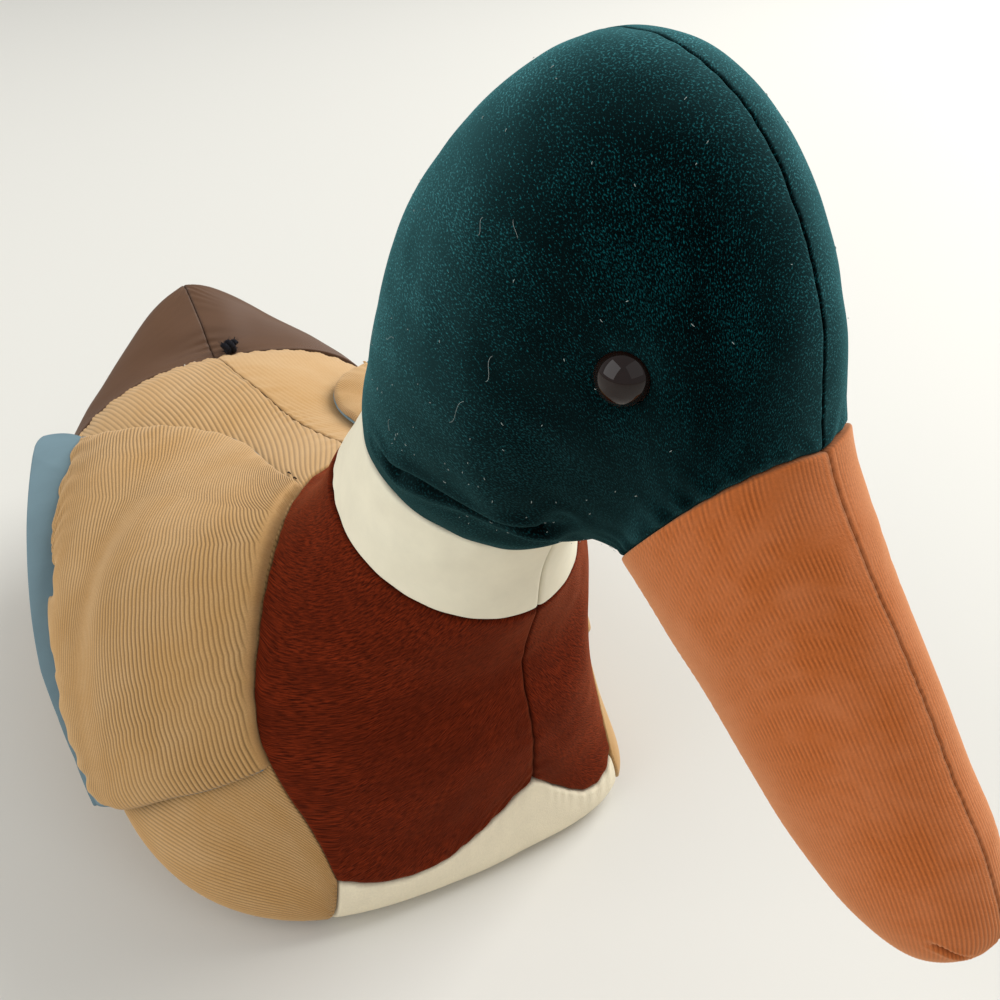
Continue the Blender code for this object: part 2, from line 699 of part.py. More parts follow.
def make_material(name, colour, roughness, metallic=0.0):
    made = bpy.data.materials.new(name)
    made.use_nodes = True
    shader = made.node_tree.nodes["Principled BSDF"]
    channels = [int(colour[i:i + 2], 16) / 255 for i in (0, 2, 4)]
    linear = [c / 12.92 if c <= 0.04045 else ((c + 0.055) / 1.055) ** 2.4 for c in channels]
    shader.inputs["Base Color"].default_value = (*linear, 1)
    shader.inputs["Roughness"].default_value = roughness
    shader.inputs["Metallic"].default_value = metallic
    made.diffuse_color = (*linear, 1)
    return made


def build_materials():
    return {
        name: make_material(name, colour, roughness)
        for name, colour, roughness in (
            ("teal velvet", "12484A", 0.85),
            ("orange velour", "C2703A", 0.8),
            ("cream cotton", "EFE9D6", 0.8),
            ("rust mohair", "6A2B17", 0.9),
            ("corduroy", "C39B66", 0.9),
            ("cream felt", "DCCFAE", 0.95),
            ("brown cotton", "6E4F3A", 0.6),
            ("blue cotton", "6B7F86", 0.8),
            ("wadding", "F2F0EA", 1.0),
            ("fibre stuffing", "F4F3EE", 1.0),
            ("eye", "140806", 0.1),
            ("washer", "E6E6E2", 0.5),
            ("black yarn", "1D1B22", 0.9),
        )
    }


def build_body(cloth, collection):
    for side, sign in (("right", 1), ("left", -1)):
        station, angle = chest_grid()
        panel(f"chest_panel_{side}", body_surface, station, sign * angle, MOHAIR_THICKNESS,
              cloth["rust mohair"], collection)
        station, angle = back_grid()
        panel(f"back_panel_{side}", body_surface, station, sign * angle, CORD_THICKNESS,
              cloth["corduroy"], collection)
        station, angle = even_grid(TAIL_STATION, TIP_STATION, TAIL_ROWS, TAIL_SIDES)
        panel(f"tail_panel_{side}", body_surface, station, sign * angle, COTTON_THICKNESS,
              cloth["brown cotton"], collection)
        station, angle = even_grid(0, COLLAR_STATION, COLLAR_ROWS, HEAD_SIDES)
        panel(f"collar_{side}", collar_surface, station, sign * angle, COTTON_THICKNESS,
              cloth["cream cotton"], collection)
    station, angle = belly_grid()
    panel("belly_panel", body_surface, station, angle, FELT_THICKNESS, cloth["cream felt"], collection)
    stations = np.concatenate([np.linspace(*run) for run in BODY_STUFFING_STATIONS])
    stuffing("body_stuffing", body_surface, stations, BODY_STUFFING_SIDES,
             MOHAIR_THICKNESS + BODY_STUFFING_GAP, cloth["fibre stuffing"], collection)
    stuffing("neck_stuffing", collar_surface, np.linspace(*NECK_STUFFING_STATIONS), 2 * HEAD_SIDES,
             COTTON_THICKNESS + STUFFING_GAP / 2, cloth["fibre stuffing"], collection)


def build_head(cloth, collection, cutters):
    panels = {}
    for side, sign in (("right", 1), ("left", -1)):
        station, angle = head_grid()
        panels[side] = panel(f"head_panel_{side}", head_surface, station, sign * angle,
                             VELVET_THICKNESS, cloth["teal velvet"], collection)
        station, angle = bill_grid()
        panel(f"bill_panel_{side}", head_surface, station, sign * angle, VELVET_THICKNESS,
              cloth["orange velour"], collection)
    depth = VELVET_THICKNESS + STUFFING_GAP
    wad = stuffing("head_stuffing", head_surface, np.linspace(*HEAD_STUFFING_STATIONS),
                   2 * HEAD_SIDES, depth, cloth["fibre stuffing"], collection)
    stuffing("bill_stuffing", head_surface, np.linspace(*BILL_STUFFING_STATIONS),
             2 * HEAD_SIDES, depth + STUFFING_GAP / 2, cloth["fibre stuffing"], collection)
    build_eyes(panels, wad, cloth, collection, cutters)


def set_origin(obj, place):
    """Puts the object's origin at a place without moving the object."""
    obj.data.transform(Matrix.Translation(-place))
    obj.location = place


def bounds(objects):
    graph = bpy.context.evaluated_depsgraph_get()
    corners = []
    for obj in objects:
        evaluated = obj.evaluated_get(graph)
        mesh = evaluated.to_mesh()
        corners.extend(evaluated.matrix_world @ vertex.co for vertex in mesh.vertices)
        evaluated.to_mesh_clear()
    corners = np.array(corners)
    return corners.min(0), corners.max(0)


def build():
    for obj in list(bpy.data.objects):
        bpy.data.objects.remove(obj)
    scene = bpy.context.scene
    scene.unit_settings.system = "METRIC"
    scene.unit_settings.scale_length = 1.0
    collection = bpy.data.collections.new("plush duck")
    cutters = bpy.data.collections.new("cutters")
    scene.collection.children.link(collection)
    scene.collection.children.link(cutters)
    cloth = build_materials()
    build_body(cloth, collection)
    build_head(cloth, collection, cutters)
    build_curl(cloth, collection)
    for side, sign in (("right", 1), ("left", -1)):
        pivot, way = wing_axis(sign)
        for obj in build_wing(side, sign, cloth, collection):
            set_origin(obj, Vector(pivot))
        place = [round(float(c) / MM, 2) for c in pivot]
        print("wing hinge", side, place, [round(float(c), 4) for c in way])
    bpy.context.view_layer.update()
    low, high = bounds(collection.objects)
    shift = Vector((-(low[0] + high[0]) / 2, -(low[1] + high[1]) / 2, -low[2]))
    for obj in [*collection.objects, *cutters.objects]:
        obj.location = obj.location + shift
    print("shift", [round(c / MM, 3) for c in shift])


if __name__ == "__main__":
    build()
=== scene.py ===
"""Dresses the stuffed mallard drake: velvet head, velour bill, mohair chest, corduroy back and wings.

It runs as a script in Blender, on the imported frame, and builds each piece with an operator.
Metres, +Z up. The duck faces -Y and its right side is at -X.
"""

import json
import math

import bmesh
import bpy
import numpy as np
from mathutils import Matrix, Vector


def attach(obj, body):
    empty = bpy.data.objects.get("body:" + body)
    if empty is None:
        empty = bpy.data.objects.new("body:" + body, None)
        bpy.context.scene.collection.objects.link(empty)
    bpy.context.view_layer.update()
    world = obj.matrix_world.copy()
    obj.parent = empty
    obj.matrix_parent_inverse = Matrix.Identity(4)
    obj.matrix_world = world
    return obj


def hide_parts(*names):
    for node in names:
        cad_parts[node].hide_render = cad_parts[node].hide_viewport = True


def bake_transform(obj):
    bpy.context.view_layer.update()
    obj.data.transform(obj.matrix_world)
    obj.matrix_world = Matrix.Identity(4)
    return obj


bl_info = {
    "name": "Stuffed mallard drake",
    "version": (1, 0, 0),
    "blender": (4, 5, 0),
    "location": "View3D > Sidebar > Duck",
    "description": "Sewn cloth, eyes and stage for a stuffed mallard drake",
    "category": "Object",
}

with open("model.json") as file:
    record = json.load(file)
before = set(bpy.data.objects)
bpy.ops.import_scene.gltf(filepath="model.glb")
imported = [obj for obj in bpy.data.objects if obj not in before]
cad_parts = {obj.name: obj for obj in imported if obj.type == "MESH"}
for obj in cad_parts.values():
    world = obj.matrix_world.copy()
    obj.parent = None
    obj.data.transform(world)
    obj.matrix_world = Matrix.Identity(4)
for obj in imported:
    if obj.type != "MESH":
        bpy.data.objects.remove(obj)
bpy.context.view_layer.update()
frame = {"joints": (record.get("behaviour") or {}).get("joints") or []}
MM = 0.001
HALF_TURN = math.pi
NORMAL_STEP = 0.004
SIDES = (("right", 1), ("left", -1))

# Driving sizes and tables of the form, the same as the frame's
BODY_LENGTH = 288 * MM
BODY_HEIGHT = 110 * MM
BODY_WIDTH = 202 * MM
NECK_DEPTH = 80 * MM
NECK_WIDTH = 83 * MM
COLLAR_HEIGHT = 33 * MM
HEAD_LENGTH = 155 * MM
HEAD_HEIGHT = 145 * MM
HEAD_WIDTH = 95 * MM
BILL_LENGTH = 115 * MM
BILL_DEPTH = 57 * MM
BILL_WIDTH = 50 * MM
BILL_DROOP = math.radians(42)
HEAD_TURN = math.radians(10)
NECK_SHIFT = 24 * MM
SEAM_DRIFT = 27 * MM
SLUMP = 12 * MM
FLAT_DEPTH = 0.5 * MM
# Where the neck's axis stands in the frame
NECK_PLACE = (11.55 * MM, -45.26 * MM, -0.5 * MM)

COLLAR_FRONT_SHARE = 1.06
COLLAR_SHARES = (
    (0.66, 1.03, -0.39, 0.00, 0.96),
    (0.56, 1.40, -0.41, 0.50, 0.87),
    (0.47, 1.72, -0.48, 1.00, 0.80),
)
HEAD_SHARES = (
    (0.18, 0.31, -0.30, 0.04, 0.82, 0.00, 1.00),
    (0.07, 0.52, -0.33, 0.09, 0.90, 0.00, 0.95),
    (-0.04, 0.75, -0.37, 0.12, 0.96, -0.10, 0.90),
    (-0.22, 0.92, -0.40, 0.13, 0.97, -0.15, 0.90),
    (-0.38, 0.97, -0.42, 0.14, 0.89, -0.15, 0.90),
    (-0.56, 0.89, -0.43, 0.14, 0.73, -0.10, 0.95),
    (-0.70, 0.68, -0.46, 0.13, 0.58, 0.00, 1.00),
)
BILL_ROOT_SHARE = (-0.62, 0.32)
BILL_SHARES = (
    (0.00, 1.08, 0.02, -1.15, 1.08),
    (0.20, 0.89, 0.18, -1.14, 0.99),
    (0.36, 0.79, 0.33, -1.15, 0.87),
    (0.51, 0.69, 0.50, -1.15, 0.84),
    (0.66, 0.56, 0.68, -1.09, 0.81),
    (0.82, 0.44, 0.83, -0.92, 0.74),
    (0.95, 0.26, 0.94, -0.67, 0.54),
    (1.00, 0.02, 0.98, -0.42, 0.26),
    (1.01, -0.17, 1.00, -0.23, 0.02),
)
BODY_SHARES = (
    (0.20, 1.19, -0.09, 0.80, 0.57, 0.00, 1.00),
    (0.30, 1.09, -0.12, 0.56, 0.67, -0.05, 0.95),
    (0.39, 1.02, -0.125, 0.31, 0.78, -0.20, 0.85),
    (0.48, 0.98, -0.13, 0.03, 0.87, -0.35, 0.80),
    (0.57, 0.98, -0.01, 0.00, 0.94, -0.40, 0.80),
    (0.66, 0.96, 0.33, 0.00, 0.95, -0.40, 0.80),
    (0.74, 0.91, 0.60, 0.07, 0.92, -0.30, 0.80),
    (0.79, 0.87, 0.76, 0.25, 0.82, -0.25, 0.85),
)
TAIL_SHARES = (
    (0.82, 0.89, 0.81, 0.46, 0.67, -0.10, 0.90),
    (0.85, 0.96, 0.86, 0.65, 0.48, 0.00, 0.95),
    (0.89, 1.03, 0.89, 0.83, 0.30, 0.00, 1.00),
    (0.92, 1.07, 0.92, 0.94, 0.16, 0.00, 1.00),
    (0.94, 1.07, 0.94, 1.02, 0.01, 0.00, 1.00),
)
DRIFT_END_SHARE = 0.660
DRIFT_RUN_SHARE = 0.753
MOST_DRIFT_SHARE = 1.0
NECK_BLEND = 1.6
DRIFT_BLEND = 3
SLUMP_START = 2.5
SLUMP_END = 4
TAIL_STATION = len(BODY_SHARES)
TIP_STATION = TAIL_STATION + len(TAIL_SHARES)
BILL_STATION = len(HEAD_SHARES) + 1
BILL_TIP_STATION = BILL_STATION + len(BILL_SHARES) - 1
COLLAR_STATION = len(COLLAR_SHARES) - 1
BILL_SEAM_SAG_SHARE = 0.20
CHEST_SEAM_SHARES = (
    (1.33, 180), (1.35, 165), (1.12, 150), (0.97, 136), (0.93, 124), (0.95, 114), (1.01, 104),
    (1.11, 94), (1.25, 85), (1.45, 77), (1.71, 71), (2.00, 66), (2.26, 60), (2.52, 54),
    (2.79, 48), (3.10, 43), (3.45, 39),
)
CHEST_HEM_SHARES = (
    (0.00, 3.45), (0.20, 3.52), (0.40, 3.54), (0.58, 3.47), (0.72, 3.33), (0.87, 3.14), (1.00, 2.88),
)
BELLY_REAR_DEGREES = 38
WING_FRONT_DEGREES = (60, 155)
WING_REAR_SHARES = (
    (0.00, 4.66, 92), (0.10, 4.86, 98), (0.25, 5.10, 106), (0.45, 5.28, 117), (0.65, 5.70, 126),
    (0.85, 6.02, 137), (1.00, 6.40, 143),
)
WING_BOW_DEGREES = 19
WING_LOW_BOW_DEGREES = 10
WING_SKEW_DEGREES = 2.5
LINING_REACH = 18 * MM
LINING_REACH_SHARES = (
    (0.00, 0.06), (0.10, 0.10), (0.20, 0.25), (0.30, 0.48), (0.45, 0.66), (0.65, 0.80),
    (0.85, 1.00), (0.94, 1.00), (1.00, 0.80),
)
LINING_FLARE = math.radians(50)
LINING_CORNER_SHARE = 0.88
WING_CLEARANCE = 1.1 * MM
WING_PUFF = 6 * MM
WING_STAND_OFF = 5.5 * MM
LINING_THICKNESS = 1 * MM
LAYER_GAP = 0.6 * MM
COVER_RISE = 2 * MM
EYE_SHARE = (6.35, 109)
EYE_RISE = 4 * MM
CURL_SHARE = (8.15, -176)
CURL_RADIUS = 2.3 * MM
CURL_TURNS = 2.2
CURL_NARROWING_SHARE = 0.35
CURL_LENGTH = 6.5 * MM
CURL_FIBRES = 220
PLY_SHARE = 0.24
# Hand stitches: name, finish, lean from the way rearward, length, and where as (station, degrees,
# height over the body)
STITCHES = (
    (
        "wing_tacks", "brown_thread", math.radians(-10), 1.8 * MM,
        ((1.64, 161, 1.2 * MM), (1.45, 159, 1.2 * MM)),
    ),
    ("tail_stitches", "pale_thread", math.radians(10), 2.2 * MM, ((8.0, 175, 0), (8.0, 172, 0))),
)
LINT_SPECKS = 130
LINT_HAIRS = 9
# Creases under the bill's tip and under the cheek, as stations and degrees
BILL_CREASE_SHARES = ((13.63, 113), (13.79, 119), (14.03, 124), (14.39, 136))
CHEEK_CREASE_SHARES = (
    (1.15, 99), (1.31, 85), (1.63, 76), (1.87, 69), (2.31, 60), (3.02, 50), (3.90, 47), (5.05, 45),
    (5.90, 53),
)
# The back's cords are this much further apart along the rows than the wings' are
BACK_CORD_SPREAD = 1.3
# How far the cords of the back run outwards for each length that they run forwards: at the tail,
# and how much more at the chest
BACK_SLANT_SHARES = (-0.20, 0.75)
# How far the cords of the wing leave its sewn edge, as (share of the way up, share of the most)
WING_LEAN = 44 * MM
WING_LEAN_SHARES = (
    (0.00, 0.00), (0.12, 0.05), (0.40, 0.22), (0.65, 0.36), (0.80, 0.60), (0.90, 0.92), (1.00, 1.35),
)

# How each piece is sewn. Edges 0 and 1 are a piece's first and last rows, 2 and 3 its columns.
# Edges turned down: radius, edges, share of a full quarter round, how dark the painted shade is at the seam
SEAM_ROLLS = {
    "head": ((0.9 * MM, (2, 3), 0.8, 0.5), (1.6 * MM, (0, 1), 1.0, 0.5)),
    "bill": ((0.7 * MM, (0, 1, 2, 3), 0.8, 0.4),),
    "collar": ((1.6 * MM, (0, 1, 2, 3), 1.0, 0.25),),
    "chest": ((1.2 * MM, (3,), 0.8, 0.5), (2.2 * MM, (0, 1), 1.0, 0.5)),
    "back": ((1.6 * MM, (0, 1, 3), 1.0, 0.4), (1.0 * MM, (2,), 0.8, 0.35)),
    "belly": ((2.0 * MM, (0, 1, 2, 3), 1.0, 0.3),),
    "tail": ((1.0 * MM, (0, 1, 2, 3), 1.0, 0.35),),
    "wing": ((2.0 * MM, (0, 1, 3), 1.0, 0.3), (5.0 * MM, (2,), 0.9, 0.0)),
}
# Rows of stitches that show as dents of painted shade: edge, spacing, how dark
STITCH_ROWS = {
    "head": ((3, 2.4 * MM, 0.75),),
    "bill": ((3, 2.2 * MM, 0.6),),
    "tail": ((3, 2.4 * MM, 0.45),),
}
# Gathers: edge, height, spacing, reach, draw
GATHERS = {
    "head": (
        (3, 0.35 * MM, 6 * MM, 3 * MM, 11), (2, 0.7 * MM, 8 * MM, 4 * MM, 17),
        (1, 0.8 * MM, 7 * MM, 5 * MM, 23),
    ),
    "bill": ((3, 0.25 * MM, 6 * MM, 3 * MM, 31), (2, 0.4 * MM, 6 * MM, 3 * MM, 37)),
    "collar": ((0, 0.5 * MM, 11 * MM, 5 * MM, 41), (1, 0.5 * MM, 13 * MM, 5 * MM, 43)),
    "chest": ((1, 0.8 * MM, 9 * MM, 6 * MM, 51), (3, 0.6 * MM, 9 * MM, 4 * MM, 53)),
    "back": ((2, 0.8 * MM, 10 * MM, 5 * MM, 61), (1, 1.2 * MM, 9 * MM, 9 * MM, 63)),
    "belly": ((0, 0.9 * MM, 6 * MM, 6 * MM, 71),),
    "tail": ((3, 1.4 * MM, 6.5 * MM, 8 * MM, 81), (2, 1.2 * MM, 7 * MM, 7 * MM, 83)),
    "wing": ((3, 2.2 * MM, 14 * MM, 14 * MM, 95), (1, 1.0 * MM, 16 * MM, 10 * MM, 97)),
}
# Unevenness of the stuffing: height, size, draw
LUMPS = {
    "head": ((0.8 * MM, 38 * MM, 3), (0.25 * MM, 9 * MM, 5)),
    "bill": ((0.5 * MM, 22 * MM, 7),),
    "chest": ((1.2 * MM, 45 * MM, 21), (0.3 * MM, 8 * MM, 22)),
    "back": ((1.2 * MM, 45 * MM, 25),),
    "belly": ((0.4 * MM, 18 * MM, 27),),
    "tail": ((0.8 * MM, 20 * MM, 29),),
    "wing": ((1.4 * MM, 36 * MM, 31),),
}
SEAM_SAMPLES_PER_ROW = 40
EYE_SKIRT = 3 * MM
EYE_SINK = 0.7 * MM
YARN_PLY_SHARE = 0.26
FUZZ_RADIUS = 0.09 * MM
STITCH_RADIUS = 0.3 * MM
SPECK_RADIUS = 0.075 * MM
HAIR_RADIUS = 0.035 * MM

# The photograph's view, and the light: name, place, what it looks at, size and power
CAMERA_PLACE = (-88.4 * MM, -275.3 * MM, 331.0 * MM)
CAMERA_TURN = math.radians(-30)
CAMERA_DIP = math.radians(36)
LAMPS = (
    ("window", (2.3, 0.3, 1.9), (0, 0, 0.1), 1.8, 82),
    ("wall_bounce", (-2.1, 0.3, 1.5), (0, 0, 0.12), 2.4, 32),
    ("room_light", (0.4, -1.9, 1.9), (0, 0, 0.1), 2.4, 7),
)
ROOM_STRENGTH = 0.55
FLOOR_SIZE = 12


def between(shares, at):
    """Straight interpolation in a table whose first column is at."""
    table = np.asarray(shares, float)
    return [np.interp(at, table[:, 0], table[:, k]) for k in range(1, table.shape[1])]


def spline(rows, at):
    """A smooth curve through the rows, read at the stations in at."""
    rows = np.asarray(rows, float)
    last = len(rows) - 1
    at = np.clip(np.asarray(at, float), 0, last)
    i = np.minimum(at.astype(int), last - 1)
    f = (at - i)[..., None]
    p1, p2 = rows[i], rows[i + 1]
    p0 = np.where((i == 0)[..., None], 2 * p1 - p2, rows[np.maximum(i - 1, 0)])
    p3 = np.where((i == last - 1)[..., None], 2 * p2 - p1, rows[np.minimum(i + 2, last)])
    cubic = (-p0 + 3 * p1 - 3 * p2 + p3) * f**3
    return 0.5 * (2 * p1 + (p2 - p0) * f + (2 * p0 - 5 * p1 + 4 * p2 - p3) * f**2 + cubic)


def smooth(a):
    a = np.clip(a, 0, 1)
    return a * a * (3 - 2 * a)


def section_points(sections, angle):
    """Points on oval sections: angle 0 is the front or lower seam, and pi the back or upper one."""
    back = sections[..., 0:2]
    front = sections[..., 2:4]
    along = -np.cos(angle)
    along = along + sections[..., 5] * (1 - along**2)
    side = np.sin(angle)
    side = np.sign(side) * np.abs(side) ** sections[..., 6]
    yz = (back + front) / 2 + (back - front) / 2 * along[..., None]
    return np.stack([-sections[..., 4] * side, yz[..., 0], yz[..., 1]], -1)


def padded_rows(rows):
    return [tuple(row) + (0, 1) if len(row) == 5 else tuple(row) for row in rows]


def collar_rows():
    base = COLLAR_FRONT_SHARE * BODY_HEIGHT
    return padded_rows(
        (by * NECK_DEPTH, base + bz * COLLAR_HEIGHT, fy * NECK_DEPTH, base + fz * COLLAR_HEIGHT,
         w * NECK_WIDTH / 2)
        for by, bz, fy, fz, w in COLLAR_SHARES
    )


def head_base():
    return COLLAR_FRONT_SHARE * BODY_HEIGHT + COLLAR_HEIGHT


def bill_rows():
    y, z = BILL_ROOT_SHARE
    root = np.array([y * HEAD_LENGTH, head_base() + z * HEAD_HEIGHT])
    ahead = np.array([-math.cos(BILL_DROOP), -math.sin(BILL_DROOP)])
    up = np.array([-math.sin(BILL_DROOP), math.cos(BILL_DROOP)])
    rows = []
    for ta, tu, ba, bu, w in BILL_SHARES:
        top = root + ahead * ta * BILL_LENGTH + up * tu * BILL_DEPTH / 2
        bottom = root + ahead * ba * BILL_LENGTH + up * bu * BILL_DEPTH / 2
        rows.append((*top, *bottom, w * BILL_WIDTH / 2))
    return padded_rows(rows)


def head_rows():
    rows = [collar_rows()[-1]]
    for by, bz, fy, fz, w, drop, full in HEAD_SHARES:
        rows.append((
            by * HEAD_LENGTH, head_base() + bz * HEAD_HEIGHT,
            fy * HEAD_LENGTH, head_base() + fz * HEAD_HEIGHT,
            w * HEAD_WIDTH / 2, drop, full,
        ))
    return rows + bill_rows()


def body_rows():
    rows = [collar_rows()[0]]
    for by, bz, fy, fz, w, drop, full in BODY_SHARES + TAIL_SHARES:
        rows.append((
            by * BODY_LENGTH, bz * BODY_HEIGHT, fy * BODY_LENGTH, fz * BODY_HEIGHT,
            w * BODY_WIDTH / 2, drop, full,
        ))
    return rows


def turned(points):
    """The neck and head stand a little to the duck's left and look that way."""
    x, y, z = points[..., 0], points[..., 1], points[..., 2]
    c, s = math.cos(HEAD_TURN), math.sin(HEAD_TURN)
    return np.stack([x * c - y * s + NECK_SHIFT, x * s + y * c, z], -1)


def head_surface(station, angle):
    return turned(section_points(spline(head_rows(), station), angle)) + NECK_PLACE


def collar_surface(station, angle):
    return turned(section_points(spline(collar_rows(), station), angle)) + NECK_PLACE


def body_surface(station, angle):
    """The body's seams drift to the left towards the turned neck."""
    station = np.asarray(station, float)
    points = section_points(spline(body_rows(), station), angle)
    side = np.abs(np.sin(angle))
    run = (DRIFT_END_SHARE * BODY_LENGTH - points[..., 1]) / (DRIFT_RUN_SHARE * BODY_LENGTH)
    drift = SEAM_DRIFT * np.clip(run, 0, MOST_DRIFT_SHARE)
    fullness = smooth(station / SLUMP_START) * (1 - smooth((station - SLUMP_END) / SLUMP_END))
    fullness = fullness * (1 - np.cos(angle)) / 2
    skewed = points.copy()
    ease = np.clip(station - (DRIFT_BLEND - 1), 0, 2)
    blended = np.minimum(station, DRIFT_BLEND + 1) - ease**2 / 4
    skewed[..., 0] += drift * (1 - side * np.minimum(1, blended / DRIFT_BLEND))
    skewed[..., 0] -= 2 * SLUMP * side * fullness
    at_neck = (1 - smooth(station / NECK_BLEND))[..., None]
    placed = turned(points) * at_neck + skewed * (1 - at_neck)
    placed[..., 2] = np.maximum(placed[..., 2], FLAT_DEPTH)
    return placed + NECK_PLACE


def outward(surface, station, angle):
    """The surface's outward normals."""
    step = NORMAL_STEP
    along = surface(station + step, angle) - surface(station - step, angle)
    round_it = surface(station, angle + step) - surface(station, angle - step)
    normal = np.cross(along, round_it)
    normal /= np.maximum(np.linalg.norm(normal, axis=-1, keepdims=True), 1e-12)
    centre = (surface(station, np.zeros_like(angle)) + surface(station, np.full_like(angle, HALF_TURN))) / 2
    return normal * np.sign(np.sum(normal * (surface(station, angle) - centre)))


def noise(points, scale, seed=0):
    """Smooth random values from -1 to 1, with bumps about scale across."""
    q = np.asarray(points, float) / scale
    cell = np.floor(q).astype(np.int64)
    f = q - cell
    f = f * f * f * (f * (f * 6 - 15) + 10)
    total = 0
    for corner in range(8):
        bits = [corner & 1, corner >> 1 & 1, corner >> 2 & 1]
        at = cell + bits
        mixed = (at[..., 0] * 73856093 ^ at[..., 1] * 19349663 ^ at[..., 2] * 83492791) + seed * 2654435
        mixed = (mixed ^ (mixed >> 13)) * 1274126177 & 0x7FFFFFFF
        mixed = (mixed ^ (mixed >> 16)) * 668265263 & 0x7FFFFFFF
        weight = np.prod([f[..., k] if bits[k] else 1 - f[..., k] for k in range(3)], axis=0)
        total = total + weight * ((mixed >> 7 & 0xFFFF) / 32767.5 - 1)
    return total


def line_noise(along, scale, seed=0):
    """Smooth random values on a line."""
    along = np.asarray(along, float)
    return noise(np.stack([along, np.zeros_like(along), np.zeros_like(along)], -1), scale, seed)


def arc_lengths(points):
    """Distances along each row of points."""
    steps = np.linalg.norm(np.diff(points, axis=1), axis=-1)
    return np.concatenate([np.zeros((len(points), 1)), np.cumsum(steps, 1)], 1)


def ruled(surface, station, angle, distances, slant):
    """Stations and angles at the given distances along each row, each row starting at its own slant.
    A row that is shorter stops at its end."""
    run = arc_lengths(surface(station, angle))
    wanted = distances[None, :] + slant[:, None]
    wanted = np.clip(wanted, 0, run[:, -1:])
    rows = range(len(run))
    return (
        np.array([np.interp(wanted[i], run[i], station[i]) for i in rows]),
        np.array([np.interp(wanted[i], run[i], angle[i]) for i in rows]),
    )


